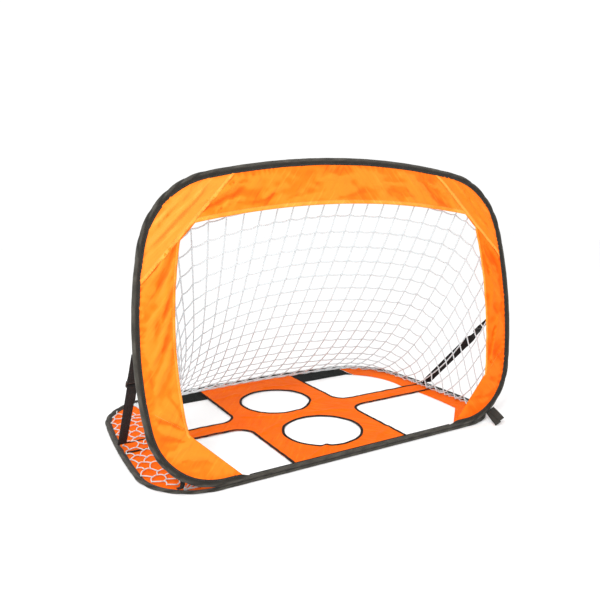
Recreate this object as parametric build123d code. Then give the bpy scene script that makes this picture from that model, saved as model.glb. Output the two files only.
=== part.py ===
"""Pop-up soccer goal: two spring-steel hoops joined along the goal line, with a net and a target sheet.

Millimetres. The origin is on the ground at the middle of the goal line, +X runs along the goal line to
the right as a player faces the goal mouth, +Y runs back into the goal and +Z is up.
Every hoop is drawn flat in its own plane first: x along the goal line and v across the hoop, with v = 0
at the hoop's outer edge on the goal line. The front hoop is then stood up and the ground hoop laid down.
"""
import math
import os

from build123d import *

# ---- driving dimensions ----
FRONT_HOOP = {"half_straight": 400.0, "arcs": [(190.0, 81.0), (1120.0, 103.0), (227.0, 169.0)]}
GROUND_HOOP = {"half_straight": 410.0, "arcs": [(170.0, 89.4), (2880.0, 97.3), (213.0, 173.7)]}
LEAN = 7.0                     # the front hoop leans back this many degrees
WIRE_RADIUS = 2.0
WIRE_END_GAP = 0.5
FERRULE_RADIUS = 3.0
FERRULE_BORE_RADIUS = 2.05
FERRULE_LENGTH = 40.0

SLEEVE_BORE_RADIUS = 3.4       # room for the wire and its ferrule inside both sleeves
FRONT_SLEEVE_RADIUS = 5.5
GROUND_SLEEVE_WIDTH = 12.0
GROUND_SLEEVE_HEIGHT = 8.0
GROUND_SLEEVE_CORNER = 2.4
SEAM_REACH = 13.0              # the sleeve's two layers are sewn together this far inside the wire
SEAM_HALF = 1.2
NARROW_HALF = 335.0            # the front sleeve is a plain tube between these x on the goal line
SLEEVE_GAP = 0.4

CLOTH = 1.0                    # thickness of a single layer of fabric
FIT = 0.3                      # gap between pieces that are sewn edge to edge
MOUTH_HALF_BOTTOM = 338.0      # goal mouth: half width on the goal line, between the corner gussets
MOUTH_SIDE_LOW = (484.0, 142.0)
MOUTH_SIDE_MIDDLE = (499.0, 330.0)
MOUTH_SIDE_HIGH = (470.0, 598.0)
MOUTH_TOP_CORNER = (430.0, 638.0)
MOUTH_TOP = 676.0
MITRE = 168.0                  # side and top panels meet where v - x has this value
PATCH_EDGE = 1069.0            # the corner patches reach in to where x + v has this value

WINDOW_SIDE_MIDDLE = (488.0, 280.0)
WINDOW_SIDE_HIGH = (478.0, 420.0)
WINDOW_CORNER = (452.0, 566.0)
WINDOW_BACK_CORNER = (385.0, 640.0)
BACK_PANEL_HALF = 405.0

COLUMN_HALF = 193.0            # target sheet: the column with the two ball holes, and the cross arm
ARM_FRONT = 328.0
ARM_BACK = 404.0
CROSS_FILLET = 48.0
HOLE_RADIUS = 115.0
HOLE_PLACES = (200.0, 502.0)   # distance of each ball hole's centre from the goal line
BINDING_WIDTH = 8.0
BINDING_HEIGHT = 2.2

NET_THICKNESS = 1.0
NET_BEHIND = 2.4               # the net is sewn this far behind the front hoop's middle plane
NET_CORNER = 170.0             # largest radius of its back corners, and its share of the net's depth
NET_CORNER_SHARE = 0.42
NET_FLARE_SHARE = 0.3          # it reaches its full width this share of the way back
NET_OPENING = 30.0             # the space inside the net is cut this far out through its open front
# height, half width where it meets the mouth, half width behind that, and how far back it reaches
NET_LEVELS = ((8.6, 352.0, 533.0, 742.0), (142.0, 492.0, 534.0, 520.0), (330.0, 507.0, 530.0, 345.0),
              (480.0, 500.0, 516.0, 235.0), (598.0, 480.0, 493.0, 158.0), (650.0, 440.0, 452.0, 126.0),
              (700.0, 425.0, 434.0, 100.0))

WEBBING_WIDTH = 25.0
WEBBING = 1.4
STRAP_FOOT = (556.0, 372.0, 13.0)
STRAP_TOP = (588.0, 52.0, 352.0)
BUCKLE_SHARE = 0.72            # how far up the strap the buckle sits
TAIL_LENGTH = 75.0
BUCKLE_SIZE = (27.0, 31.0, 4.0)
BUCKLE_SLOT = 4.4
BUCKLE_SLOT_PLACES = (-7.2, 0.4, 8.0)

STRAP_LIFT = 0.4               # gap between the webbing and the buckle's faces
TAIL_DROP = 2.0                # the strap's loose tail lies this far under the strap
TAB_LAYER = 1.1                # the tab's two layers lie this far each side of the strap's plane
TAB_SPREAD, TAB_JOIN = 9.0, 24.0   # how far from the slot its layers begin to close, and are together
BUCKLE_CORNER = 4.0
SLOT_ROOM = 1.2                # the buckle's slots are this much wider than the webbing
LIP_DEPTH, LIP_HEIGHT = 2.4, 3.0   # the lip that the buckle is lifted by
LIP_INSET, LIP_RISE, LIP_SHORTER = 1.2, 0.8, 10.0

TIE_WIDTH = 12.0
TIE_PLACE = 505.0              # distance of each corner tie from the middle of the goal
# how far back and up each tie runs, from behind the front sleeve to the top of the ground fabric
TIE_PATH = ((12.4, 56.0), (11.8, 42.0), (16.0, 26.0), (31.0, 9.8), (46.0, 9.2))
LOOP_WIDTH = 30.0
LOOP_THICKNESS = 3.0
LOOP_START = (500.0, -0.5, 32.0)   # the storage loop hangs from just outside the sleeve's corner
LOOP_END = (491.0, -49.0, 13.0)
LOOP_ACROSS = (0.69, -0.31, 0.65)
HINGE_TAPE = 0.8               # thickness of the tape that joins the hoops
HINGE_TAPE_LOW = 10.0
HINGE_TAPE_SHORTER = 4.0

# ---- sizes worked out from them ----
GROUND_WIRE_HEIGHT = GROUND_SLEEVE_HEIGHT / 2
HINGE_HEIGHT = GROUND_SLEEVE_HEIGHT + SLEEVE_GAP + FRONT_SLEEVE_RADIUS
GROUND_EDGE = GROUND_SLEEVE_WIDTH / 2
FRONT_INSET = FRONT_SLEEVE_RADIUS + SEAM_REACH + FIT
GROUND_INSET = GROUND_EDGE + SEAM_REACH + FIT
STAND = Pos(0, 0, HINGE_HEIGHT) * Rot(X=90 - LEAN) * Pos(0, -FRONT_SLEEVE_RADIUS, 0)
LAY = Pos(0, -GROUND_EDGE, 0)
GROUND_WIRE_LEVEL = Pos(0, 0, GROUND_WIRE_HEIGHT)
MIRROR = Plane.YZ
REACH = 2000.0                 # longer than anything here, for shapes that only cut others to size


# ---- hoop outlines ----
def right_arcs(hoop, inset):
    """The arcs of a hoop's right half, from the goal line to the top, as start, middle and end points."""
    x, v, turn = hoop["half_straight"], inset, 0.0
    arcs = []
    for radius, end in hoop["arcs"] + [(None, 180.0)]:
        if radius is None:
            bend = x / math.sin(math.radians(180.0 - turn))
        else:
            bend = radius - inset
        start_angle, end_angle = math.radians(turn), math.radians(end)
        cx, cv = x - bend * math.sin(start_angle), v + bend * math.cos(start_angle)
        angles = (start_angle, (start_angle + end_angle) / 2, end_angle)
        arcs.append([(cx + bend * math.sin(a), cv - bend * math.cos(a)) for a in angles])
        (x, v), turn = arcs[-1][-1], end
    return arcs


def mirrored(arc):
    """The same arc on the left half, run the other way."""
    return [(-x, v) for x, v in reversed(arc)]


def loop_edges(hoop, inset, gap=0.0):
    """The whole outline at an inset, starting beside the middle of the goal line."""
    half = hoop["half_straight"]
    right = right_arcs(hoop, inset)
    edges = [Line((gap / 2, inset), (half, inset))]
    edges += [ThreePointArc(*arc) for arc in right]
    edges += [ThreePointArc(*mirrored(arc)) for arc in reversed(right)]
    edges += [Line((-half, inset), (-gap / 2, inset))]
    return edges


def hoop_face(hoop, inset):
    return make_face(loop_edges(hoop, inset))


def tube_along(edges, start, heading, section):
    """Sweep a section, drawn as inward by upward, along a path in the hoop's plane."""
    angle = math.radians(heading)
    inward = (-math.sin(angle), math.cos(angle), 0)
    along = (math.cos(angle), math.sin(angle), 0)
    plane = Plane(origin=(start[0], start[1], 0), x_dir=inward, z_dir=along)
    return sweep(plane * section, path=Wire(edges))


# ---- hoop wires and sleeves ----
def hoop_wire(hoop, edge):
    edges = loop_edges(hoop, edge, WIRE_END_GAP)
    return tube_along(edges, (WIRE_END_GAP / 2, edge), 0.0, Circle(WIRE_RADIUS))


def wire_ferrule(edge):
    tube = Cylinder(FERRULE_RADIUS, FERRULE_LENGTH) - Cylinder(FERRULE_BORE_RADIUS, FERRULE_LENGTH)
    return Pos(0, edge, 0) * Rot(Y=90) * tube


def front_section():
    seam = Polygon((0, -FRONT_SLEEVE_RADIUS), (SEAM_REACH, -SEAM_HALF), (SEAM_REACH, SEAM_HALF),
                   (0, FRONT_SLEEVE_RADIUS), align=None)
    return Circle(FRONT_SLEEVE_RADIUS) + seam - Circle(SLEEVE_BORE_RADIUS)


def ground_section():
    half = GROUND_SLEEVE_HEIGHT / 2
    body = RectangleRounded(GROUND_SLEEVE_WIDTH, GROUND_SLEEVE_HEIGHT, GROUND_SLEEVE_CORNER)
    seam = Polygon((0, -half), (SEAM_REACH, -half), (SEAM_REACH, 2 * SEAM_HALF - half), (0, half),
                   align=None)
    return body + seam - Circle(SLEEVE_BORE_RADIUS)


def side_sleeve(hoop, edge, section, start_x):
    """The right-hand sleeve: the end of the straight, the bottom corner and the side."""
    arcs = right_arcs(hoop, edge)
    edges = [Line((start_x, edge), (hoop["half_straight"], edge))]
    edges += [ThreePointArc(*arc) for arc in arcs[:2]]
    return tube_along(edges, (start_x, edge), 0.0, section)


def far_sleeve(hoop, edge, section):
    """The sleeve across the far side of the hoop, with both its corners."""
    arcs = right_arcs(hoop, edge)[2:]
    edges = [ThreePointArc(*arc) for arc in arcs]
    edges += [ThreePointArc(*mirrored(arc)) for arc in reversed(arcs)]
    return tube_along(edges, arcs[0][0], hoop["arcs"][1][1], section)


def straight_sleeve(edge, section, half):
    return tube_along([Line((-half, edge), (half, edge))], (-half, edge), 0.0, section)


# ---- fabric panels ----
def mouth_face():
    """The goal mouth: bowed sides and top, with the four corners cut off by gussets and patches."""
    foot = (MOUTH_HALF_BOTTOM, 0)
    side = (MOUTH_SIDE_LOW, MOUTH_SIDE_MIDDLE, MOUTH_SIDE_HIGH)
    left_top = (-MOUTH_TOP_CORNER[0], MOUTH_TOP_CORNER[1])
    edges = [Line(foot, MOUTH_SIDE_LOW), ThreePointArc(*side), Line(MOUTH_SIDE_HIGH, MOUTH_TOP_CORNER),
             ThreePointArc(MOUTH_TOP_CORNER, (0, MOUTH_TOP), left_top)]
    edges += [Line(left_top, (-MOUTH_SIDE_HIGH[0], MOUTH_SIDE_HIGH[1])), ThreePointArc(*mirrored(side)),
              Line((-MOUTH_SIDE_LOW[0], MOUTH_SIDE_LOW[1]), (-foot[0], 0)), Line((-foot[0], 0), foot)]
    return make_face(edges)


def window_face():
    """The open middle of the ground hoop's panels."""
    foot = (MOUTH_HALF_BOTTOM, 0)
    side = (MOUTH_SIDE_LOW, WINDOW_SIDE_MIDDLE, WINDOW_SIDE_HIGH)
    corner = (WINDOW_SIDE_HIGH, WINDOW_CORNER, WINDOW_BACK_CORNER)
    left_back = (-WINDOW_BACK_CORNER[0], WINDOW_BACK_CORNER[1])
    edges = [Line(foot, MOUTH_SIDE_LOW), ThreePointArc(*side), ThreePointArc(*corner),
             Line(WINDOW_BACK_CORNER, left_back), ThreePointArc(*mirrored(corner)),
             ThreePointArc(*mirrored(side)), Line((-MOUTH_SIDE_LOW[0], MOUTH_SIDE_LOW[1]), (-foot[0], 0)),
             Line((-foot[0], 0), foot)]
    return make_face(edges)


def above_mitre(shift):
    """The part of the plane above both mitre lines, for the panel across the top of the hoop."""
    corner = (0, MITRE + shift)
    return Polygon(corner, (REACH, MITRE + shift + REACH), (-REACH, MITRE + shift + REACH), align=None)


def right_half(limit=0.0):
    return Pos(REACH / 2 + limit, 0) * Rectangle(REACH, 2 * REACH)


def sheet(face, bottom):
    return Pos(0, 0, bottom) * extrude(face, amount=CLOTH)


def front_ring():
    return hoop_face(FRONT_HOOP, FRONT_INSET) - mouth_face()


def face_panel_right():
    return sheet((front_ring() - above_mitre(-FIT / 2)) & right_half(MOUTH_HALF_BOTTOM), -CLOTH / 2)


def face_panel_top():
    return sheet(front_ring() & above_mitre(FIT / 2), -CLOTH / 2)


def corner_patch_right():
    outside = Polygon((0, PATCH_EDGE), (PATCH_EDGE, 0), (REACH, 0), (REACH, REACH), (0, REACH), align=None)
    band = hoop_face(FRONT_HOOP, FRONT_INSET) & outside & right_half()
    return sheet(band, CLOTH / 2 + FIT)


def ground_ring():
    return hoop_face(GROUND_HOOP, GROUND_INSET) - window_face()


def far_strip(half):
    """The strip behind the window's back edge, as wide as the back panel."""
    start = WINDOW_BACK_CORNER[1] - 50
    return Pos(0, start + REACH / 2) * Rectangle(2 * half, REACH)


def ground_panel_right():
    return sheet((ground_ring() - far_strip(BACK_PANEL_HALF)) & right_half(MOUTH_HALF_BOTTOM), 0)


def ground_panel_back():
    return sheet(ground_ring() & far_strip(BACK_PANEL_HALF - FIT), 0)


# ---- target sheet ----
def cross_face(grow):
    """The target sheet's cross shape, with its four inside corners rounded."""
    column = Pos(0, REACH / 2) * Rectangle(2 * (COLUMN_HALF + grow), REACH)
    arm_middle = (ARM_FRONT + ARM_BACK) / 2
    arm = Pos(0, arm_middle) * Rectangle(2 * REACH, ARM_BACK - ARM_FRONT + 2 * grow)
    cross = column + arm
    inside = [v for v in cross.vertices() if abs(abs(v.X) - COLUMN_HALF - grow) < 1 and 1 < v.Y < REACH - 1]
    return fillet(inside, CROSS_FILLET - grow) & hoop_face(GROUND_HOOP, GROUND_INSET)


def target_sheet():
    face = cross_face(-BINDING_WIDTH - FIT)
    for place in HOLE_PLACES:
        face -= Pos(0, place) * Circle(HOLE_RADIUS + BINDING_WIDTH + FIT)
    return sheet(face, CLOTH + FIT)


def binding(face):
    return Pos(0, 0, CLOTH + FIT) * extrude(face, amount=BINDING_HEIGHT)


def hole_binding(place):
    ring = Circle(HOLE_RADIUS + BINDING_WIDTH) - Circle(HOLE_RADIUS)
    return binding(Pos(0, place) * ring)


def cross_binding(back):
    """The binding along one inside corner of the cross, at its right-hand back or front."""
    middle = (ARM_FRONT + ARM_BACK) / 2
    side = REACH / 2 if back else -REACH / 2
    quarter = Pos(REACH / 2, middle + side) * Rectangle(REACH, REACH)
    return binding((cross_face(0) - cross_face(-BINDING_WIDTH)) & quarter)


# ---- net ----
def net_level(level, inset):
    """The net's outline at one height, or the space inside it, which is open at the front."""
    height, mouth, side, back = level
    front = max((height - HINGE_HEIGHT) * math.tan(math.radians(LEAN)) + NET_BEHIND, FRONT_SLEEVE_RADIUS + 2)
    depth = back - front
    corner, flare = min(NET_CORNER, NET_CORNER_SHARE * depth), front + NET_FLARE_SHARE * depth
    if inset:
        slope = (side - mouth) / (flare - front)
        mouth, side, back = mouth - inset - NET_OPENING * slope, side - inset, back - inset
        front -= NET_OPENING
    cut = corner * (1 - math.sqrt(0.5))
    right = [(mouth, front), (side, flare), (side, back - corner)]
    left = [(-x, y) for x, y in right]
    edges = [Line(left[0], right[0]), Line(right[0], right[1]), Line(right[1], right[2]),
             ThreePointArc(right[2], (side - cut, back - cut), (side - corner, back)),
             Line((side - corner, back), (corner - side, back)),
             ThreePointArc((corner - side, back), (cut - side, back - cut), left[2]),
             Line(left[2], left[1]), Line(left[1], left[0])]
    return Pos(0, 0, height) * make_face(edges)


def goal_net():
    outer = loft([net_level(level, 0) for level in NET_LEVELS], ruled=True)
    inner = loft([net_level(level, NET_THICKNESS) for level in NET_LEVELS], ruled=True)
    return outer - inner


# ---- webbing and buckles, drawn for the right-hand side ----
def strap_plane():
    """Plane of the right strap: x up along the strap, y across its width, z out of its upper face."""
    foot, top = Vector(*STRAP_FOOT), Vector(*STRAP_TOP)
    along = (top - foot).normalized()
    across = Vector(1, 0, 0) - along * along.X
    return Plane(origin=foot, x_dir=along, z_dir=along.cross(across.normalized()))


def strap_length():
    return (Vector(*STRAP_TOP) - Vector(*STRAP_FOOT)).length


def ribbon(points, width):
    """A flat ribbon of webbing along points given as along the strap and above its middle plane."""
    profile = trace(Polyline(*points), WEBBING)
    return Rot(X=90) * extrude(profile, amount=width / 2, both=True)


def buckle_place():
    return BUCKLE_SHARE * strap_length()


def webbing_level():
    """How far the webbing passes above and below the buckle's middle."""
    return BUCKLE_SIZE[2] / 2 + STRAP_LIFT + WEBBING / 2


def side_strap():
    """Up from its foot, over the buckle's lower bar and back down under itself."""
    place, level = buckle_place(), webbing_level()
    low_slot, high_slot = (place + BUCKLE_SLOT_PLACES[i] for i in (0, 1))
    points = [(0, -level), (low_slot, -level), (low_slot, level), (high_slot, level),
              (high_slot, -level - TAIL_DROP), (low_slot - TAIL_LENGTH, -level - TAIL_DROP)]
    return strap_plane() * ribbon(points, WEBBING_WIDTH)


def strap_tab():
    """The loop through the buckle's top slot, doubled back and sewn to the sleeve."""
    level, slot, top = webbing_level(), buckle_place() + BUCKLE_SLOT_PLACES[2], strap_length()
    upper = [(top, TAB_LAYER), (slot + TAB_JOIN, TAB_LAYER), (slot + TAB_SPREAD, level), (slot, level)]
    points = upper + [(s, -h) for s, h in reversed(upper)]
    return strap_plane() * ribbon(points, WEBBING_WIDTH)


def strap_buckle():
    length, width, height = BUCKLE_SIZE
    plate = Box(length, width, height)
    plate = fillet(plate.edges().filter_by(Axis.Z), BUCKLE_CORNER)
    for place in BUCKLE_SLOT_PLACES:
        plate -= Pos(place, 0) * Box(BUCKLE_SLOT, WEBBING_WIDTH + SLOT_ROOM, 2 * height)
    lip = Pos(LIP_INSET - length / 2, 0, height / 2 + LIP_RISE) * Box(LIP_DEPTH, width - LIP_SHORTER, LIP_HEIGHT)
    return strap_plane() * Pos(buckle_place(), 0, 0) * (plate + lip)


# ---- small pieces at the front corners ----
def corner_tie():
    """Short webbing tie from the front sleeve down to the ground sleeve, at the right-hand corner."""
    profile = trace(Polyline(*TIE_PATH), CLOTH)
    return Pos(TIE_PLACE, 0, 0) * (Plane.YZ * extrude(profile, amount=TIE_WIDTH / 2, both=True))


def storage_loop():
    """Doubled webbing loop that hangs out in front of the right-hand corner, across the sleeve's run."""
    start, end = Vector(*LOOP_START), Vector(*LOOP_END)
    along = (end - start).normalized()
    plane = Plane(origin=(start + end) / 2, x_dir=along, z_dir=along.cross(Vector(*LOOP_ACROSS)))
    return plane * Box((end - start).length, LOOP_WIDTH, LOOP_THICKNESS)


def hinge_tape():
    top = HINGE_HEIGHT + FRONT_SLEEVE_RADIUS - 1
    strip = Box(2 * NARROW_HALF - HINGE_TAPE_SHORTER, HINGE_TAPE, top - HINGE_TAPE_LOW)
    return Pos(0, FRONT_SLEEVE_RADIUS + HINGE_TAPE, (HINGE_TAPE_LOW + top) / 2) * strip


def build():
    """Every node by name, in place."""
    front, ground = FRONT_SLEEVE_RADIUS, GROUND_EDGE
    nodes = {
        "front_wire": STAND * hoop_wire(FRONT_HOOP, front),
        "front_wire_ferrule": STAND * wire_ferrule(front),
        "front_sleeve_bottom": STAND * straight_sleeve(
            front, Circle(FRONT_SLEEVE_RADIUS) - Circle(SLEEVE_BORE_RADIUS), NARROW_HALF),
        "front_sleeve_top": STAND * far_sleeve(FRONT_HOOP, front, front_section()),
        "face_panel_top": STAND * face_panel_top(),
        "ground_wire": LAY * GROUND_WIRE_LEVEL * hoop_wire(GROUND_HOOP, ground),
        "ground_wire_ferrule": LAY * GROUND_WIRE_LEVEL * wire_ferrule(ground),
        "ground_sleeve_front": LAY * GROUND_WIRE_LEVEL * straight_sleeve(
            ground, ground_section(), NARROW_HALF),
        "ground_sleeve_back": LAY * GROUND_WIRE_LEVEL * far_sleeve(GROUND_HOOP, ground, ground_section()),
        "ground_panel_back": LAY * ground_panel_back(),
        "target_sheet": LAY * target_sheet(),
        "goal_net": goal_net(),
        "hinge_tape": hinge_tape(),
        "storage_loop": storage_loop(),
    }
    for name, place in zip(("front", "back"), HOLE_PLACES):
        nodes["hole_binding_" + name] = LAY * hole_binding(place)
    pairs = {
        "front_sleeve": STAND * side_sleeve(FRONT_HOOP, front, front_section(), NARROW_HALF),
        "face_panel": STAND * face_panel_right(),
        "corner_patch": STAND * corner_patch_right(),
        "ground_sleeve": LAY * GROUND_WIRE_LEVEL * side_sleeve(
            GROUND_HOOP, ground, ground_section(), NARROW_HALF),
        "ground_panel": LAY * ground_panel_right(),
        "cross_binding_front": LAY * cross_binding(False),
        "cross_binding_back": LAY * cross_binding(True),
        "side_strap": side_strap(),
        "strap_tab": strap_tab(),
        "strap_buckle": strap_buckle(),
        "corner_tie": corner_tie(),
    }
    for name, shape in pairs.items():
        nodes[name + "_right"] = shape
        nodes[name + "_left"] = mirror(shape, about=MIRROR)
    return nodes


os.makedirs("parts", exist_ok=True)
for node, shape in build().items():
    export_step(shape, f"parts/{node}.step")
    box = shape.bounding_box()
    print(f"{node:26s} {shape.volume / 1000:9.1f} cm3  x {box.min.X:7.1f} {box.max.X:7.1f}"
          f"  y {box.min.Y:7.1f} {box.max.Y:7.1f}  z {box.min.Z:6.1f} {box.max.Z:6.1f}")
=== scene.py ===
"""Looks of the pop-up soccer goal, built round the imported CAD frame.

Metres, in the CAD's own frame: the origin is on the ground at the middle of the goal line, +X runs along
the goal line, +Y back into the goal and +Z up. Each hoop is drawn flat first, as x along the goal line and
v across the hoop, with v = 0 at the hoop's outer edge on the goal line. front() stands that plane up and
ground() lays it down.
"""
import math

import bpy
import numpy as np
from mathutils import Matrix, Vector, geometry, kdtree


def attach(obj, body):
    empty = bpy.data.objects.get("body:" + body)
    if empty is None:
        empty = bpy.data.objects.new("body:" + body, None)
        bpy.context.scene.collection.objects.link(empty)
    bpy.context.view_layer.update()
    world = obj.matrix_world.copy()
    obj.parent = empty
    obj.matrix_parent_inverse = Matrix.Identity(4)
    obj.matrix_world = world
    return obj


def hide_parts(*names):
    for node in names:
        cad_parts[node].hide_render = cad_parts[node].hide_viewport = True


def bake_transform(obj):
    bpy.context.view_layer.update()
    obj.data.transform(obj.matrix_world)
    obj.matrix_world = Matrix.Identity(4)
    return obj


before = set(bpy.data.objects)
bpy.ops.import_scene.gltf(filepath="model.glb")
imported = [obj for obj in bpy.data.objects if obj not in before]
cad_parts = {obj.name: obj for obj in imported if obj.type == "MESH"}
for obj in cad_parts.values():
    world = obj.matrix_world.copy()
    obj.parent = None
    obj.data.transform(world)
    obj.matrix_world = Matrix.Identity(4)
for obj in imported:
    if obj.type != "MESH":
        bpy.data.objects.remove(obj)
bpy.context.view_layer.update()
GROUND_BODY, GOAL_BODY = "ground_frame", "goal_frame"
SIDES = (("right", 1), ("left", -1))

# ---- the hoops, as in the CAD ----
FRONT_HOOP = (0.400, [(0.190, 81.0), (1.120, 103.0), (0.227, 169.0)])
GROUND_HOOP = (0.410, [(0.170, 89.4), (2.880, 97.3), (0.213, 173.7)])
CORNER_RADIUS_LIMIT = 0.3         # arcs tighter than this are the hoops' corners
LINE_STEP, ARC_STEP = 0.005, 0.006   # how far apart the points of outlines and of arcs are
LEAN = math.radians(7.0)
HINGE_HEIGHT = 0.0139
FRONT_RADIUS = 0.0055             # of the front sleeve
GROUND_HALF = (0.006, 0.004)      # half width and half height of the ground sleeve
SEAM_REACH = 0.013                # the sleeves' two flaps reach this far in from the wire
SEAM_HALF = 0.0012
NARROW_HALF = 0.335               # between these x on the goal line the sleeves have no flaps
SEWN_IN = 0.0145                  # how far in from a hoop's outer edge its fabric is sewn between the flaps
GROUND_FABRIC_IN = SEWN_IN + 0.001
FRONT_SEAM_IN, GROUND_SEAM_IN = 0.0158, 0.0162   # where the stitches through the flaps are

# the goal mouth, the windows in the ground fabric and the target sheet, as (x, v)
MOUTH_FOOT = (0.338, 0.0)
MOUTH_LOW, MOUTH_MIDDLE, MOUTH_HIGH = (0.484, 0.142), (0.499, 0.330), (0.470, 0.598)
MOUTH_CORNER, MOUTH_TOP = (0.430, 0.638), 0.676
MITRE = 0.168                     # the side and top panels meet where v - x has this value
PATCH_EDGE = 1.069                # the corner patches reach in to where x + v has this value
WINDOW_MIDDLE, WINDOW_HIGH = (0.488, 0.280), (0.478, 0.420)
WINDOW_CORNER, WINDOW_BACK = (0.452, 0.566), (0.385, 0.640)
BACK_PANEL_HALF = 0.405
COLUMN_HALF, ARM_FRONT, ARM_BACK, FILLET = 0.193, 0.328, 0.404, 0.048
HOLE_RADIUS, HOLE_PLACES = 0.115, (0.200, 0.502)
SIDE_HEM, TOP_HEM, PATCH_HEM, TARGET_HEM = 0.006, 0.010, 0.008, 0.012

STRAP_FOOT, STRAP_TOP = np.array((0.556, 0.372, 0.013)), np.array((0.588, 0.052, 0.352))
BUCKLE_SHARE = 0.72
WEBBING_WIDTH = 0.025
WEBBING = 0.0014
THREAD_RADIUS = 0.00042
STITCH_LIFT = 0.0004              # a row of stitches lies this far above its cloth's middle plane
CLOTH_THICKNESS = 0.0006
TAPE_STITCHES = {"pitch": 0.0036, "length": 0.0025}


# ---- small tools ----
def smooth(t):
    """0 up to 0 and 1 from 1, with a smooth step between."""
    t = np.clip(t, 0.0, 1.0)
    return t * t * (3 - 2 * t)


def ripple(x, y, wave, seed, terms=7):
    """Smooth uneven noise, about -1 to 1, with features of about that wavelength."""
    random = np.random.default_rng(seed)
    total = np.zeros(np.broadcast(x, y).shape)
    for _ in range(terms):
        angle, phase = random.uniform(0, 2 * math.pi, 2)
        size = 2 * math.pi / (wave * random.uniform(0.7, 1.5))
        total = total + np.sin((x * math.cos(angle) + y * math.sin(angle)) * size + phase)
    return total / math.sqrt(terms) * 0.8


def arc_through(a, b, c):
    """Points of the circular arc from a through b to c."""
    (ax, ay), (bx, by), (cx, cy) = a, b, c
    d = 2 * (ax * (by - cy) + bx * (cy - ay) + cx * (ay - by))
    qa, qb, qc = ax * ax + ay * ay, bx * bx + by * by, cx * cx + cy * cy
    ox = (qa * (by - cy) + qb * (cy - ay) + qc * (ay - by)) / d
    oy = (qa * (cx - bx) + qb * (ax - cx) + qc * (bx - ax)) / d
    radius = math.hypot(ax - ox, ay - oy)
    start, middle, end = (math.atan2(y - oy, x - ox) for x, y in (a, b, c))
    full = 2 * math.pi
    turn = (end - start) % full
    if (middle - start) % full > turn:
        turn -= full
    angles = start + turn * np.linspace(0, 1, max(3, int(abs(turn) * radius / ARC_STEP)))
    return np.stack([ox + radius * np.cos(angles), oy + radius * np.sin(angles)], 1)


def lengths(line):
    """How far along a line each of its points is."""
    return np.concatenate([[0], np.cumsum(np.linalg.norm(np.diff(line, axis=0), axis=1))])


def headings(line):
    """The unit direction of a line at each of its points."""
    ahead = np.gradient(line, axis=0)
    ahead /= np.linalg.norm(ahead, axis=1)[:, None]
    return ahead


def along_line(at, along, line):
    """The points of a line at the given distances along it."""
    return np.stack([np.interp(at, along, line[:, k]) for k in range(line.shape[1])], -1)


def closed_up(line):
    return np.vstack([line, line[:1]])


def spaced(points, step, closed=False):
    """The same line with its points evenly spaced, about step apart."""
    points = np.asarray(points, float)
    if closed:
        points = closed_up(points)
    along = lengths(points)
    count = max(2, round(along[-1] / step) + 1)
    even = along_line(np.linspace(0, along[-1], count), along, points)
    return even[:-1] if closed else even


def refined(points, step):
    """A line's own corners, with points added between them where they are far apart."""
    points = np.asarray(points, float)
    out = [points[:1]]
    for a, b in zip(points[:-1], points[1:]):
        count = max(1, math.ceil(np.linalg.norm(b - a) / step - 1e-6))
        out.append(a + (b - a) * np.linspace(0, 1, count + 1)[1:, None])
    return np.vstack(out)


def softened(path, rounds):
    """A path with its corners cut off, a quarter of each run at a time."""
    path = np.asarray(path, float)
    for _ in range(rounds):
        cut = np.stack([path[:-1] * 0.75 + path[1:] * 0.25, path[:-1] * 0.25 + path[1:] * 0.75], 1)
        path = np.vstack([path[:1], cut.reshape(-1, 2), path[-1:]])
    return path


def inside(points, loop):
    """True for the points inside a closed outline."""
    x, y = points[:, 0][:, None], points[:, 1][:, None]
    ax, ay = loop[:, 0], loop[:, 1]
    bx, by = np.roll(ax, -1), np.roll(ay, -1)
    crosses = (ay > y) != (by > y)
    rise = np.where(by == ay, 1e-12, by - ay)
    return (crosses & (x < (bx - ax) * (y - ay) / rise + ax)).sum(1) % 2 == 1


def nearest(points, others):
    """How far each flat point is from the nearest of the others."""
    tree = kdtree.KDTree(len(others))
    for i, p in enumerate(others):
        tree.insert((p[0], p[1], 0), i)
    tree.balance()
    return np.array([tree.find((p[0], p[1], 0))[2] for p in points])


def distance(points, line):
    """How far each flat point is from a line."""
    return nearest(points, refined(line, 0.002))


def flip(points):
    """Mirrored to the left side and run the other way, so that it still turns the same way."""
    return np.asarray(points)[::-1] * (-1, 1)


def on_side(points, sign):
    """A line of the right side, or its mirror image for the left."""
    return points if sign == 1 else flip(points)


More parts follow.
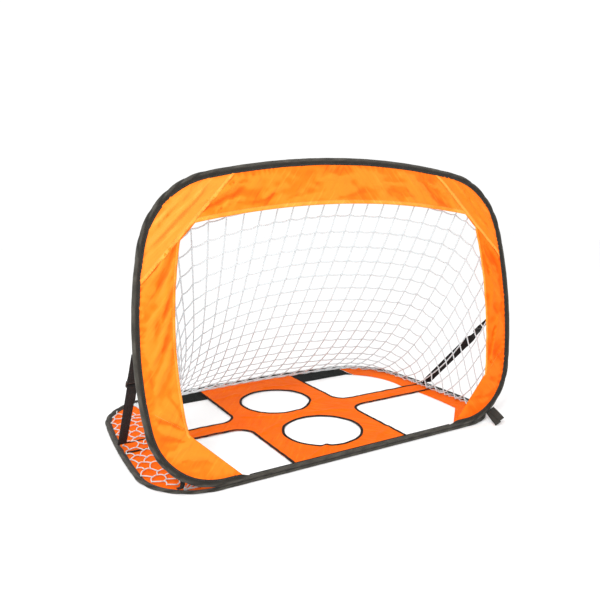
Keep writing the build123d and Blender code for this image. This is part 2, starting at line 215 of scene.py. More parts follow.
# ---- hoop outlines ----
def hoop_outline(hoop):
    """Outer edge from the middle of the goal line round to it again.

    It gives the points, their inward normals, and 1 where the hoop turns a corner and 0 elsewhere.
    """
    half, arcs = hoop
    straight = np.arange(0, half, LINE_STEP)
    points = [np.stack([straight, np.zeros(len(straight))], 1)]
    normals = [np.tile((0.0, 1.0), (len(straight), 1))]
    bends = [np.zeros(len(straight))]
    x, v, turn = half, 0.0, 0.0
    for radius, end in arcs + [(None, 180.0)]:
        radius = radius or x / math.sin(math.radians(180.0 - turn))
        start_angle, end_angle = math.radians(turn), math.radians(end)
        cx, cv = x - radius * math.sin(start_angle), v + radius * math.cos(start_angle)
        count = max(2, math.ceil(radius * (end_angle - start_angle) / LINE_STEP))
        angles = np.linspace(start_angle, end_angle, count + 1)
        out = np.stack([np.sin(angles), -np.cos(angles)], 1)
        kept = slice(None if end == 180.0 else -1)
        points.append((np.array((cx, cv)) + radius * out)[kept])
        normals.append(-out[kept])
        bends.append(np.full(len(points[-1]), 1.0 if radius < CORNER_RADIUS_LIMIT else 0.0))
        x, v = cx + radius * math.sin(end_angle), cv - radius * math.cos(end_angle)
        turn = end
    points, normals, bends = np.vstack(points), np.vstack(normals), np.concatenate(bends)
    left_half = slice(-2, 0, -1)
    points, normals = (np.vstack([part, part[left_half] * (-1, 1)]) for part in (points, normals))
    return points, normals, np.concatenate([bends, bends[left_half]])


def front(x, v, n):
    """Points of the front hoop's plane, n in front of it."""
    x, v, n = np.broadcast_arrays(x, v, n)
    rise = v - FRONT_RADIUS
    return np.stack([x, rise * math.sin(LEAN) - n * math.cos(LEAN),
                     HINGE_HEIGHT + rise * math.cos(LEAN) + n * math.sin(LEAN)], -1)


def ground(x, v, h):
    """Points of the ground hoop's plane, h above the floor."""
    x, v, h = np.broadcast_arrays(x, v, h)
    return np.stack([x, v - GROUND_HALF[0], h], -1)


FRONT_OUTLINE, GROUND_OUTLINE = hoop_outline(FRONT_HOOP), hoop_outline(GROUND_HOOP)
FRONT_LINE, FRONT_NORMAL = FRONT_OUTLINE[:2]
GROUND_LINE, GROUND_NORMAL = GROUND_OUTLINE[:2]


# ---- meshes ----
def piece(name, points, faces, materials, uv=None, groups=None, smooth_faces=True):
    """A mesh object: uv is one pair a point, and groups one material number a face."""
    mesh = bpy.data.meshes.new(name)
    mesh.from_pydata([tuple(p) for p in np.asarray(points, float)], [], [tuple(map(int, f)) for f in faces])
    for material in materials:
        mesh.materials.append(material)
    if groups is not None:
        mesh.polygons.foreach_set("material_index", np.asarray(groups, np.int32))
    if uv is not None:
        layer = mesh.uv_layers.new(name="cloth")
        corner = np.zeros(len(mesh.loops), np.int32)
        mesh.loops.foreach_get("vertex_index", corner)
        layer.data.foreach_set("uv", np.asarray(uv, np.float32)[corner].ravel())
    mesh.polygons.foreach_set("use_smooth", np.full(len(mesh.polygons), smooth_faces))
    mesh.update()
    thing = bpy.data.objects.new(name, mesh)
    bpy.context.scene.collection.objects.link(thing)
    return thing


def set_painted_shade(thing, values):
    """Painted shade at each point, from how deep in a fold or groove it lies, which darkens its colour; where
    negative, from how high on a fold it lies, which lightens it as a painted highlight.
    """
    layer = thing.data.attributes.new("painted_shade", "FLOAT", "POINT")
    layer.data.foreach_set("value", np.clip(values, -1, 1).astype(np.float32))


class Parts:
    """Meshes gathered into one piece."""

    def __init__(self):
        self.points, self.faces, self.uv, self.count = [], [], [], 0

    def add(self, points, faces, uv=None):
        points = np.asarray(points, float).reshape(-1, 3)
        self.points.append(points)
        self.faces += [tuple(i + self.count for i in f) for f in faces]
        self.uv.append(np.zeros((len(points), 2)) if uv is None else np.asarray(uv, float).reshape(-1, 2))
        self.count += len(points)

    def piece(self, name, materials, **options):
        return piece(name, np.vstack(self.points), self.faces, materials, np.vstack(self.uv), **options)


def skin_faces(rings, sides, closed_along=False, closed_round=True, caps=False):
    """The quads between rings of points, and a face over each end if capped."""
    faces = []
    for i in range(rings if closed_along else rings - 1):
        j = (i + 1) % rings
        for k in range(sides if closed_round else sides - 1):
            m = (k + 1) % sides
            faces.append((i * sides + k, i * sides + m, j * sides + m, j * sides + k))
    if caps:
        faces.append(tuple(range(sides))[::-1])
        faces.append(tuple((rings - 1) * sides + k for k in range(sides)))
    return faces


def frames_along(line):
    """A side and an up direction for each point of a line, without sudden twists."""
    ahead = np.gradient(line, axis=0)
    ahead /= np.maximum(np.linalg.norm(ahead, axis=1), 1e-9)[:, None]
    sides = np.zeros_like(line)
    side = np.cross(ahead[0], (0, 0, 1.0))
    if np.linalg.norm(side) < 0.1:
        side = np.cross(ahead[0], (0, 1.0, 0))
    for i, a in enumerate(ahead):
        side = side - a * (side @ a)
        side = side / max(np.linalg.norm(side), 1e-9)
        sides[i] = side
    return sides, np.cross(sides, ahead)


def add_tube(parts, line, radius, sides=5):
    """A round tube along a line."""
    line = np.asarray(line, float)
    side, up = frames_along(line)
    angles = np.linspace(0, 2 * math.pi, sides, endpoint=False)
    rings = line[:, None] + radius * (np.cos(angles)[None, :, None] * side[:, None]
                                      + np.sin(angles)[None, :, None] * up[:, None])
    uv = np.stack(np.broadcast_arrays(angles[None, :] / (2 * math.pi), lengths(line)[:, None]), -1)
    parts.add(rings, skin_faces(len(line), sides, caps=True), uv)


def add_band(parts, line, across, normal, width, thick, bulge=0.25):
    """A flat tape along a line, with its width's direction and its upper side's at each point."""
    half, t = (np.broadcast_to(size, len(line)) / 2 for size in (width, thick))
    section = [(-1, -0.5), (-0.94, -1), (0, -1 - bulge), (0.94, -1), (1, -0.5),
               (1, 0.5), (0.94, 1), (0, 1 + bulge), (-0.94, 1), (-1, 0.5)]
    rings = np.stack([line + across * (half * a)[:, None] + normal * (t * b)[:, None] for a, b in section], 1)
    sides = np.array([a for a, _ in section])
    uv = np.stack(np.broadcast_arrays(sides[None, :] * half[:, None], lengths(line)[:, None]), -1)
    parts.add(rings, skin_faces(len(line), len(section), caps=True), uv)


def add_stitches(parts, line, normal, pitch=0.0042, length=0.0029):
    """A row of thread stitches along a line, each dipping into the cloth at its ends."""
    line, normal = np.asarray(line, float), np.broadcast_to(normal, np.shape(line))
    along = lengths(line)
    at = np.arange(pitch, along[-1] - pitch, pitch)
    steps = np.array([-0.5, -0.25, 0.25, 0.5])
    lifts = np.array([-0.5, 0.75, 0.75, -0.5])
    widths = np.array([0.5, 1.0, 1.0, 0.5])
    centre = along_line(at[:, None] + steps * length, along, line)
    up = along_line(at, along, normal)[:, None]
    ahead = centre[:, -1:] - centre[:, :1]
    ahead = ahead / np.maximum(np.linalg.norm(ahead, axis=-1, keepdims=True), 1e-9)
    side = np.cross(ahead, up)
    centre = centre + up * (lifts * THREAD_RADIUS)[None, :, None]
    corners = [(1, 0), (0, 1), (-1, 0), (0, -1)]
    rings = np.stack([centre + THREAD_RADIUS * widths[None, :, None] * (side * a + up * b * 0.8)
                      for a, b in corners], 2)
    one = np.array(skin_faces(len(steps), len(corners), caps=True))
    parts.add(rings, [tuple(f + len(steps) * len(corners) * i) for i in range(len(at)) for f in one])


def in_cloth(points, loops):
    """True for the points inside the first loop and outside the others."""
    keep = inside(points, loops[0])
    for hole in loops[1:]:
        keep &= ~inside(points, hole)
    return keep


ROW_SHARE = 0.866                 # height of an equilateral triangle, as a share of its side


def triangulated(loops, spacing, lines=()):
    """Triangles that fill the first loop, less the other loops, with edges along the given lines."""
    points, edges = [], []
    for line, closed in [(loop, True) for loop in loops] + [(line, False) for line in lines]:
        line = refined(closed_up(line) if closed else line, spacing)
        line = line[:-1] if closed else line
        start = sum(map(len, points))
        count = len(line)
        edges += [(start + i, start + (i + 1) % count) for i in range(count if closed else count - 1)]
        points.append(line)
    border = np.vstack(points)
    low, high = loops[0].min(0), loops[0].max(0)
    grid = []
    for i, y in enumerate(np.arange(low[1], high[1], spacing * ROW_SHARE)):
        row = np.arange(low[0] + (i % 2) * spacing / 2, high[0], spacing)
        grid.append(np.stack([row, np.full(len(row), y)], 1))
    grid = np.vstack(grid)
    grid = grid[in_cloth(grid, loops)]
    grid = grid[nearest(grid, border) > spacing * 0.6]
    every = [Vector(p) for p in np.vstack([border, grid])]
    found = geometry.delaunay_2d_cdt(every, edges, [], 0, 1e-7, False)
    flat, faces = np.array([tuple(p) for p in found[0]]), np.array(found[2])
    centre = flat[faces].mean(1)
    keep = in_cloth(centre, loops)
    faces, centre = faces[keep], centre[keep]
    used, faces = np.unique(faces, return_inverse=True)
    return flat[used], faces.reshape(-1, 3), centre


def solidify(thing):
    modifier = thing.modifiers.new("thickness", "SOLIDIFY")
    modifier.thickness, modifier.offset = CLOTH_THICKNESS, 0.0
    modifier.use_even_offset = False


# ---- materials ----
class Nodes:
    """Short names for building one material's nodes."""

    def __init__(self, name):
        self.material = bpy.data.materials.new(name)
        self.material.use_nodes = True
        self.tree = self.material.node_tree
        self.shader = self.tree.nodes["Principled BSDF"]
        self.uv = self.tree.nodes.new("ShaderNodeUVMap")
        self.uv.uv_map = "cloth"

    def node(self, kind, links=(), **values):
        made = self.tree.nodes.new("ShaderNode" + kind)
        for key, value in values.items():
            if key in made.bl_rna.properties:
                setattr(made, key, value)
            else:
                made.inputs[key.replace("_", " ")].default_value = value
        for socket, source in dict(links).items():
            self.tree.links.new(source, made.inputs[socket])
        return made

    def feed(self, socket, value):
        """Sets a socket to a number or an RGB colour, or links an output to it."""
        if isinstance(value, (int, float)):
            socket.default_value = value
        elif isinstance(value, tuple):
            socket.default_value = (*value, 1)
        else:
            self.tree.links.new(value, socket)

    def math(self, operation, a, b=0.0):
        made = self.tree.nodes.new("ShaderNodeMath")
        made.operation = operation
        for i, value in enumerate((a, b)):
            self.feed(made.inputs[i], value)
        return made.outputs[0]

    def add(self, a, b):
        return self.math("ADD", a, b)

    def mul(self, a, b):
        return self.math("MULTIPLY", a, b)

    def mix(self, share, a, b):
        made = self.tree.nodes.new("ShaderNodeMix")
        made.data_type = "RGBA"
        for socket, value in ((0, share), (6, a), (7, b)):
            self.feed(made.inputs[socket], value)
        return made.outputs[2]

    def noise(self, scale, detail, vector=None, roughness=0.5):
        made = self.node("TexNoise", Scale=scale, Detail=detail, Roughness=roughness)
        self.tree.links.new(vector or self.uv.outputs[0], made.inputs["Vector"])
        return made.outputs["Fac"]

    def ramp(self, source, low, high):
        """0 below low to 1 above high."""
        made = self.node("MapRange", From_Min=low, From_Max=high)
        made.interpolation_type = "SMOOTHSTEP"
        self.tree.links.new(source, made.inputs["Value"])
        return made.outputs[0]

    def axes(self):
        parts = self.node("SeparateXYZ", {"Vector": self.uv.outputs[0]})
        return parts.outputs[0], parts.outputs[1]

    def wave(self, source, pitch, shift=0.0):
        """A sine along a coordinate in metres, from 0 to 1."""
        turned = self.mul(source, 2 * math.pi / pitch)
        return self.add(self.mul(self.math("SINE", self.add(turned, shift)), 0.5), 0.5)

    def streaks(self, angle, along, across):
        """Noise drawn out along a slant that is mirrored at the middle, with its sizes in metres."""
        u, v = self.axes()
        u = self.math("ABSOLUTE", u)
        c, s = math.cos(angle), math.sin(angle)
        run = self.add(self.mul(u, c / along), self.mul(v, s / along))
        off = self.add(self.mul(u, -s / across), self.mul(v, c / across))
        return self.noise(1.0, 2.5, self.node("CombineXYZ", {"X": run, "Y": off}).outputs[0], 0.55)

    def finish(self, colour, rough, height=None, strength=0.3, depth=0.0003, **sockets):
        """Sets up the shader: its bump is strength of a relief depth metres deep."""
        self.feed(self.shader.inputs["Base Color"], colour)
        self.feed(self.shader.inputs["Roughness"], rough)
        if height is not None:
            bump = self.node("Bump", {"Height": height}, Strength=strength, Distance=depth)
            self.tree.links.new(bump.outputs[0], self.shader.inputs["Normal"])
        for key, value in sockets.items():
            self.shader.inputs[key.replace("_", " ")].default_value = value
        return self.material


def woven(n, pitch):
    """Plain weave: over-and-under threads in both directions."""
    u, v = n.axes()
    warp, weft = n.wave(u, pitch), n.wave(v, pitch)
    checks = n.mul(n.wave(u, 2 * pitch), n.wave(v, 2 * pitch, math.pi / 2))
    return n.add(n.mul(n.math("MAXIMUM", warp, weft), 0.6), n.mul(checks, 0.8))


CREASE_SLANT, PATCH_SLANT = -0.9, -0.72   # the way that long creases run, turned from the goal line
CREASE_SIZE = (0.11, 0.011)               # their length and width
WEAVE_PITCH = 0.0009
HIGHLIGHT_GAIN = (1.02, 1.75, 5.0)                 # painted highlight: on ridges and light streaks the red, green and blue are this many times the fabric's


def nylon(name, light, deep, gloss, blotch=9.0, slant=CREASE_SLANT):
    """Thin coated nylon: fine weave, crush marks, random deeper blotches, painted shade in its fold valleys and
    along dark streaks, and painted highlights on its ridges and along light streaks.
    """
    # light is the fabric's colour; deep is a deeper orange for random blotches and crush marks, and the colour
    # of the painted shade
    n = Nodes(name)
    crush = n.noise(38.0, 5.0, roughness=0.62)
    broad = n.noise(blotch, 2.0)
    painted_shade = n.node("Attribute", attribute_name="painted_shade").outputs["Fac"]
    # random blotches of the deeper colour, plus painted shade in the fold valleys
    share = n.add(n.mul(n.ramp(broad, 0.38, 0.66), 0.22), n.mul(painted_shade, 0.5))
    colour = n.mix(share, light, deep)
    colour = n.mix(n.mul(n.ramp(crush, 0.5, 0.72), 0.14), colour, deep)
    # long slanting creases: they shape the bump and set where the painted highlight and painted shade streaks
    # fall
    drawn = n.streaks(slant, *CREASE_SIZE)
    # the painted highlight colour, paler than the fabric
    painted_highlight = tuple(min(1.0, c * f) for c, f in zip(light, HIGHLIGHT_GAIN))
    # painted highlight on the ridges and along the light streaks
    highlight_share = n.add(n.mul(n.ramp(n.mul(painted_shade, -1.0), 0.15, 1.0), 0.42), n.mul(n.ramp(drawn, 0.56, 0.72), 0.34))
    # painted shade along the dark streaks
    streak_shade = n.ramp(n.math("SUBTRACT", 1.0, drawn), 0.56, 0.74)
    colour = n.mix(n.mul(streak_shade, 0.55), colour, deep)
    colour = n.mix(highlight_share, colour, painted_highlight)
    height = n.add(n.mul(woven(n, WEAVE_PITCH), 0.22), n.mul(crush, 2.0))
    height = n.add(height, n.mul(drawn, 5.0))
    roughness = n.add(n.mul(crush, 0.16), 0.47)
    return n.finish(colour, roughness, height, strength=0.55, depth=0.0006, Specular_IOR_Level=gloss)


def coarse(name, base, worn, pitch, ribs=0.0, rough=0.8, sheen=0.0, depth=0.0005):
    """Matt woven cloth or webbing. ribs is the pitch of the ridges across it, if it has any."""
    n = Nodes(name)
    u, v = n.axes()
    fluff = n.noise(220.0, 4.0, roughness=0.7)
    patches = n.noise(24.0, 3.0)
    height = woven(n, pitch)
    if ribs:
        across = n.math("FRACT", n.mul(u, 1 / (5 * ribs)))
        chevron = n.math("ABSOLUTE", n.math("SUBTRACT", across, 0.5))
        slanted = n.add(v, n.mul(chevron, 3.4 * ribs))
        height = n.add(n.mul(height, 0.35), n.wave(slanted, ribs))
    wear = n.mul(n.ramp(n.add(n.mul(height, 0.3), n.mul(patches, 0.9)), 0.5, 0.95), 0.75)
    colour = n.mix(wear, base, worn)
    colour = n.mix(n.mul(n.ramp(fluff, 0.55, 0.75), 0.3), colour, worn)
    painted_shade = n.node("Attribute", attribute_name="painted_shade").outputs["Fac"]
    # painted shade: where the painted_shade attribute is set, the colour darkens towards a third of the base
    colour = n.mix(n.mul(painted_shade, 0.75), colour, tuple(c * 0.3 for c in base))
    height = n.add(height, n.mul(fluff, 0.5))
    return n.finish(colour, n.add(n.mul(fluff, 0.15), rough - 0.08), height, strength=0.6,
                    depth=depth, Sheen_Weight=sheen, Sheen_Roughness=0.5, Specular_IOR_Level=0.12)


def thread(name, base, shade_and_dust, pitch):
    """Twisted thread: slanting strands along the tube, with painted shade in the grooves between them and dust
    specks of the same darker colour.
    """
    n = Nodes(name)
    u, v = n.axes()
    strands = n.wave(n.add(v, n.mul(u, pitch * 2)), pitch)
    dust = n.noise(60.0, 3.0)
    # painted shade in the grooves between the strands
    colour = n.mix(n.mul(n.math("SUBTRACT", 1.0, strands), 0.45), base, shade_and_dust)
    colour = n.mix(n.mul(n.ramp(dust, 0.5, 0.7), 0.3), colour, shade_and_dust)
    return n.finish(colour, 0.6, strands, strength=0.6, depth=0.0004, Sheen_Weight=0.2)


def plastic(name, base, scuffed):
    """Moulded plastic with a fine grain and paler scuffs."""
    n = Nodes(name)
    place = n.node("TexCoord").outputs["Object"]
    grain = n.noise(1400.0, 2.0, place)
    scuffs = n.noise(160.0, 6.0, place, 0.7)
    wear = n.mul(n.ramp(scuffs, 0.56, 0.7), 0.6)
    return n.finish(n.mix(wear, base, scuffed), n.add(n.mul(scuffs, 0.25), 0.28),
                    n.add(n.mul(grain, 0.6), scuffs), strength=0.35, depth=0.0002)


def steel(name):
    """Bare spring steel with faint stains."""
    n = Nodes(name)
    place = n.node("TexCoord").outputs["Object"]
    stain = n.noise(45.0, 5.0, place, 0.65)
    colour = n.mix(n.ramp(stain, 0.45, 0.7), (0.52, 0.53, 0.55), (0.30, 0.28, 0.26))
    return n.finish(colour, n.add(n.mul(stain, 0.3), 0.18), n.noise(900.0, 2.0, place),
                    strength=0.15, depth=0.0001, Metallic=1.0)


FRONT_ORANGE = nylon("front_orange", (0.90, 0.165, 0.005), (0.84, 0.070, 0.001), gloss=0.10)
# painted shade: a darker copy of the front orange for the right side, which is lit less
RIGHT_SHADED_ORANGE = nylon("front_orange_right_shaded", (0.88, 0.125, 0.003), (0.82, 0.060, 0.001), gloss=0.05)
PATCH_ORANGE = nylon("patch_orange", (0.92, 0.190, 0.009), (0.86, 0.090, 0.002), gloss=0.14,
                     slant=PATCH_SLANT)
# painted shade: a darker copy of the patch orange for the right patch, which is lit less
RIGHT_SHADED_PATCH = nylon("patch_orange_right_shaded", (0.90, 0.150, 0.004), (0.84, 0.075, 0.001), gloss=0.08,
                   slant=PATCH_SLANT)
HEM_ORANGE = nylon("hem_orange", (0.94, 0.235, 0.014), (0.90, 0.15, 0.005), blotch=30.0, gloss=0.16)
GROUND_ORANGE = nylon("ground_orange", (0.88, 0.135, 0.002), (0.80, 0.088, 0.001), gloss=0.04)
GROUND_HEM = nylon("ground_hem", (0.92, 0.18, 0.010), (0.88, 0.11, 0.003), blotch=30.0, gloss=0.08)
BLACK_CLOTH = coarse("black_cloth", (0.006, 0.008, 0.007), (0.018, 0.021, 0.019), 0.0012)
SLEEVE_CLOTH = coarse("sleeve_cloth", (0.040, 0.037, 0.031), (0.118, 0.109, 0.092), 0.0010, sheen=0.08)
BINDING = coarse("binding_tape", (0.016, 0.010, 0.008), (0.040, 0.026, 0.019), 0.0008)
WEBBING_BLACK = coarse("webbing_black", (0.006, 0.005, 0.005), (0.018, 0.017, 0.016), 0.0011, ribs=0.0022,
                       rough=0.62, sheen=0.03, depth=0.0007)
WEBBING_GREY = coarse("webbing_grey", (0.030, 0.030, 0.027), (0.070, 0.067, 0.060), 0.0011, ribs=0.0022,
                      sheen=0.05, depth=0.0007)
NET_CORD = thread("net_cord", (0.64, 0.675, 0.69), (0.49, 0.52, 0.53), 0.0024)
DARK_THREAD = thread("dark_thread", (0.028, 0.028, 0.026), (0.012, 0.012, 0.011), 0.0008)
ORANGE_THREAD = thread("orange_thread", (1.0, 0.36, 0.05), (0.8, 0.14, 0.01), 0.0008)
BUCKLE_PLASTIC = plastic("buckle_plastic", (0.024, 0.023, 0.021), (0.07, 0.067, 0.062))
STEEL = steel("spring_steel")


# ---- sleeves ----
FLAP_TURN = math.radians(82)      # a sleeve's flaps begin this far round from straight inwards
ROUND_POINTS = 13
FLAP_SHARES = np.array([0.2, 0.42, 0.66, 0.86, 1.0])
FLAPS_MEET = 0.62                 # share of their reach by which the flaps lie on each other
FLAPS_OPEN = 0.03                 # length over which a sleeve widens from its plain tube
BEND_REACH = 12                   # the twists fade out over this many points each side of a corner
MOST_BULGE = 1.07                 # the puckers and twists never make a sleeve wider than this
PUCKER_PITCH, TWIST_PITCH = 0.023, 0.062


def sleeve(name, outline, place, radii, flap_level, seed, body, stands_for):
    """The tunnel sewn round a hoop wire, with its two layers sewn together inside it."""
    line, normal, bend = outline
    inner, up = radii
    along = lengths(line)
    window = np.ones(2 * BEND_REACH + 1) / (2 * BEND_REACH + 1)
    bend = np.concatenate([bend[-BEND_REACH:], bend, bend[:BEND_REACH]])
    bend = np.convolve(bend, window, "same")[BEND_REACH:-BEND_REACH, None]
    open_flap = smooth((np.abs(line[:, 0]) - NARROW_HALF) / FLAPS_OPEN)
    open_flap[line[:, 1] > 0.05] = 1.0

    def round_part_at(angles):
        return [(inner * (1 + math.cos(a)), up * math.sin(a), 0.0) for a in angles]

    def there_and_back(side):
        return [(a, -h, share) for a, h, share in side] + [(a, h, share) for a, h, share in side[::-1]]

    outer = np.linspace(FLAP_TURN, 2 * math.pi - FLAP_TURN, ROUND_POINTS)
    start, tip = inner * (1 + math.cos(FLAP_TURN)), inner + SEAM_REACH
    side = []
    for share in FLAP_SHARES:
        height = SEAM_HALF + (up * math.sin(FLAP_TURN) - SEAM_HALF) * (1 - smooth(share / FLAPS_MEET))
        side.append((start + (tip - start) * share, float(height), share))
    closed_side = round_part_at(FLAP_TURN * (1 - 0.93 * FLAP_SHARES))
    flapped = np.array(round_part_at(outer) + there_and_back(side))
    plain = np.array(round_part_at(outer) + there_and_back(closed_side))
    last = FLAP_TURN * (1 - FLAP_SHARES)
    angle = np.concatenate([outer, 2 * math.pi - last, last[::-1]])
    share = open_flap[:, None, None]
    section = plain[None] * (1 - share) + flapped[None] * share
    inward, out, flap = section[..., 0], section[..., 1], section[..., 2]
    s, t = along[:, None], angle[None, :]
    pucker = np.sin(s * 2 * math.pi / PUCKER_PITCH + 1.8 * np.sin(s * 23 + seed) + 1.3 * np.sin(t + s * 9))
    pucker = pucker * (0.4 + 0.6 * ripple(s, t * 0.01, 0.11, seed))
    twist = np.sin(s * 2 * math.pi / TWIST_PITCH + t * 2.0 + seed + 0.9 * np.sin(s * 17))
    twist = np.sign(twist) * np.abs(twist) ** 1.4
    size = np.minimum(1 + (0.03 + 0.05 * bend) * pucker + (0.03 + 0.20 * bend) * twist, MOST_BULGE)
    round_part = smooth(1 - flap * 1.3)
    inward = inner + (inward - inner) * (1 + (size - 1) * round_part)
    out = out * (1 + (size - 1) * round_part)
    wave = 0.0004 * ripple(s, t * 0, 0.06, seed + 3)
    wave = np.abs(wave) * 0.6 if flap_level < 0 else wave
    out = out + flap * (flap_level + wave * smooth(flap * 1.2))
    inward = inward + flap * 0.0003 * ripple(s, t * 0, 0.08, seed + 5)
    flat = line[:, None] + normal[:, None] * inward[..., None]
    points = place(flat[..., 0], flat[..., 1], out)
    uv = np.stack(np.broadcast_arrays(lengths(flapped[:, :2])[None, :], along[:, None]), -1)
    thing = piece(name, points.reshape(-1, 3), skin_faces(len(line), len(angle), closed_along=True),
                  [SLEEVE_CLOTH], uv.reshape(-1, 2))
    # painted shade: the flaps and the grooves where the twists pinch the tube are darkened in the colour
    set_painted_shade(thing, np.maximum(smooth(flap / 0.3), 9 * (1 - size) * round_part).ravel())
    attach(thing, body)
    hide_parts(*stands_for)


def seam_rows(parts, outline, place, level, inset, sides):
    """Stitches along a sleeve's seam, on the sides of the fabric that are named by their sign."""
    line, normal, _ = outline
    keep = (np.abs(line[:, 0]) > NARROW_HALF + 0.02) | (line[:, 1] > 0.05)
    start = int(np.argmax(keep))
    flat = (line + normal * inset)[start:len(keep) - int(np.argmax(keep[::-1]))]
    for sign in sides:
        path = place(flat[:, 0], flat[:, 1], level + sign * (SEAM_HALF + 0.0001))
        up = place(flat[:, 0], flat[:, 1], level + sign) - place(flat[:, 0], flat[:, 1], level)
        add_stitches(parts, path, up)


def ground_sleeve_place(x, v, h):
    """Points of the ground hoop's plane, h above the middle of its sleeve."""
    return ground(x, v, h + GROUND_HALF[1])


front_stitches, ground_stitches = Parts(), Parts()
sleeve("front_sleeve", FRONT_OUTLINE, front, (FRONT_RADIUS, FRONT_RADIUS), 0.0, 1, GOAL_BODY,
       ["front_sleeve_bottom", "front_sleeve_left", "front_sleeve_right", "front_sleeve_top"])
sleeve("ground_sleeve", GROUND_OUTLINE, ground_sleeve_place, GROUND_HALF, SEAM_HALF - GROUND_HALF[1], 7,
       GROUND_BODY,
       ["ground_sleeve_front", "ground_sleeve_left", "ground_sleeve_right", "ground_sleeve_back"])
seam_rows(front_stitches, FRONT_OUTLINE, front, 0.0, FRONT_SEAM_IN, (1, -1))
seam_rows(ground_stitches, GROUND_OUTLINE, ground, SEAM_HALF, GROUND_SEAM_IN, (1,))


# ---- front fabric ----
def passing(line, test):
    """The points of the right half of a hoop's line that pass a test of x and v."""
    half = line[:len(line) // 2 + 1]
    return half[[bool(test(x, v)) for x, v in half]]


def front_edge(test):
    """The part of the right half of the front hoop's sewn-in line that passes a test."""
    return passing(FRONT_LINE + FRONT_NORMAL * SEWN_IN, test)


MOUTH_SIDE = arc_through(MOUTH_LOW, MOUTH_MIDDLE, MOUTH_HIGH)
MOUTH_TOP_LINE = arc_through(MOUTH_CORNER, (0.0, MOUTH_TOP), (-MOUTH_CORNER[0], MOUTH_CORNER[1]))
GUSSET_SLOPE = (MOUTH_LOW[0] - MOUTH_FOOT[0]) / MOUTH_LOW[1]
FRONT_TIP = (MOUTH_FOOT[0] + GUSSET_SLOPE * SEWN_IN, SEWN_IN)
MITRE_IN = ((PATCH_EDGE - 0.001 - MITRE) / 2, (PATCH_EDGE - 0.001 + MITRE) / 2)
right_outer = front_edge(lambda x, v: (x > FRONT_TIP[0] or v > 0.1) and v - x < MITRE)
top_outer = front_edge(lambda x, v: v - x >= MITRE and v > 0.3)
SIDE_LOOP = np.vstack([[FRONT_TIP], right_outer, [MITRE_IN], MOUTH_SIDE[::-1]])
TOP_LOOP = np.vstack([top_outer, flip(top_outer)[1:], [(-MITRE_IN[0], MITRE_IN[1])], MOUTH_TOP_LINE[::-1],
                      [MITRE_IN]])
MOUTH_OUTLINE = np.vstack([[MOUTH_FOOT], MOUTH_SIDE, MOUTH_TOP_LINE, flip(MOUTH_SIDE),
                           [(-MOUTH_FOOT[0], 0.0)]])

# A fold is (x and v of its start, x and v of its end, half width, height), in millimetres.
LEFT_FOLDS = [
    (-470, 590, -545, 478, 9, -4.0), (-482, 600, -556, 500, 9, 4.5), (-474, 562, -500, 500, 5, -2.6),
    (-487, 560, -530, 455, 7, 3.0), (-480, 520, -548, 372, 10, -2.8), (-492, 520, -560, 380, 10, 3.6),
    (-494, 440, -556, 290, 10, -2.6), (-500, 455, -566, 305, 9, 3.6), (-500, 350, -548, 230, 9, -2.2),
    (-506, 370, -560, 250, 9, 3.0), (-508, 470, -540, 400, 6, 2.4), (-489, 150, -552, 224, 8, 4.0),
    (-489, 146, -566, 205, 8, -3.0), (-487, 140, -560, 170, 8, 3.5), (-486, 134, -555, 138, 8, -2.6),
    (-489, 158, -524, 258, 7, -2.6), (-480, 128, -540, 96, 9, 2.6), (-519, 74, -487, 79, 5, -2.0),
    (-420, 60, -500, 110, 14, 2.6), (-560, 250, -574, 340, 8, -2.0), (-568, 420, -572, 500, 8, 2.2),
]
RIGHT_FOLDS = [
    (500, 560, 572, 455, 8, -3.4), (484, 590, 566, 490, 8, 3.2), (496, 540, 548, 430, 8, 2.6),
    (505, 510, 530, 400, 7, -2.4), (530, 470, 522, 330, 12, 2.6), (548, 300, 492, 172, 7, -3.6),
    (560, 320, 508, 190, 8, 3.0), (561, 224, 494, 163, 6, -3.4), (572, 216, 482, 147, 5, 2.6),
    (470, 118, 540, 104, 10, 2.2), (440, 78, 520, 70, 10, -1.8), (566, 330, 574, 440, 8, -2.2),
]
TOP_FOLDS = [
    (-404, 664, -300, 720, 8, -5.0), (-416, 676, -312, 736, 9, 4.4), (-380, 662, -300, 697, 6, 3.4),
    (-368, 668, -306, 690, 5, -3.2), (-342, 722, -290, 740, 6, -2.6), (-290, 677, -206, 708, 7, -2.8),
    (-262, 690, -180, 722, 10, 2.6), (-180, 694, -60, 712, 10, -1.4), (-90, 735, 20, 748, 9, 2.0),
    (-30, 694, 110, 712, 10, -1.4), (90, 728, 210, 724, 9, 2.2), (150, 712, 262, 690, 9, -1.4),
    (262, 732, 352, 668, 8, -2.6), (250, 722, 330, 664, 8, 3.2), (284, 740, 372, 690, 7, 3.6),
    (300, 690, 410, 648, 7, -2.2), (330, 720, 404, 656, 6, 3.0), (200, 750, 286, 700, 9, 2.0),
]
PATCH_FOLDS = [
    (-372, 738, -536, 572, 7, -2.8), (-386, 742, -550, 580, 9, 4.6), (-408, 740, -556, 594, 8, -3.0),
    (-430, 730, -556, 606, 6, 3.4), (-430, 738, -470, 694, 4, -2.2), (-470, 712, -500, 672, 4, -2.2),
    (-496, 690, -520, 644, 4, -2.0), (-520, 664, -540, 616, 4, -1.8), (352, 742, 434, 648, 4, 2.6),
    (372, 742, 466, 640, 4, -2.6), (392, 738, 566, 516, 5, 3.0), (404, 744, 572, 524, 4, -3.0),
    (440, 724, 576, 552, 5, 2.6), (484, 694, 572, 580, 5, -2.2), (520, 664, 560, 610, 5, 2.0),
]


DEEPEST_FOLD = 0.0022             # the front fabric's folds reach no further back than this
GATHER_PITCH = 0.016              # it is gathered along the sleeve, in tucks of about this length


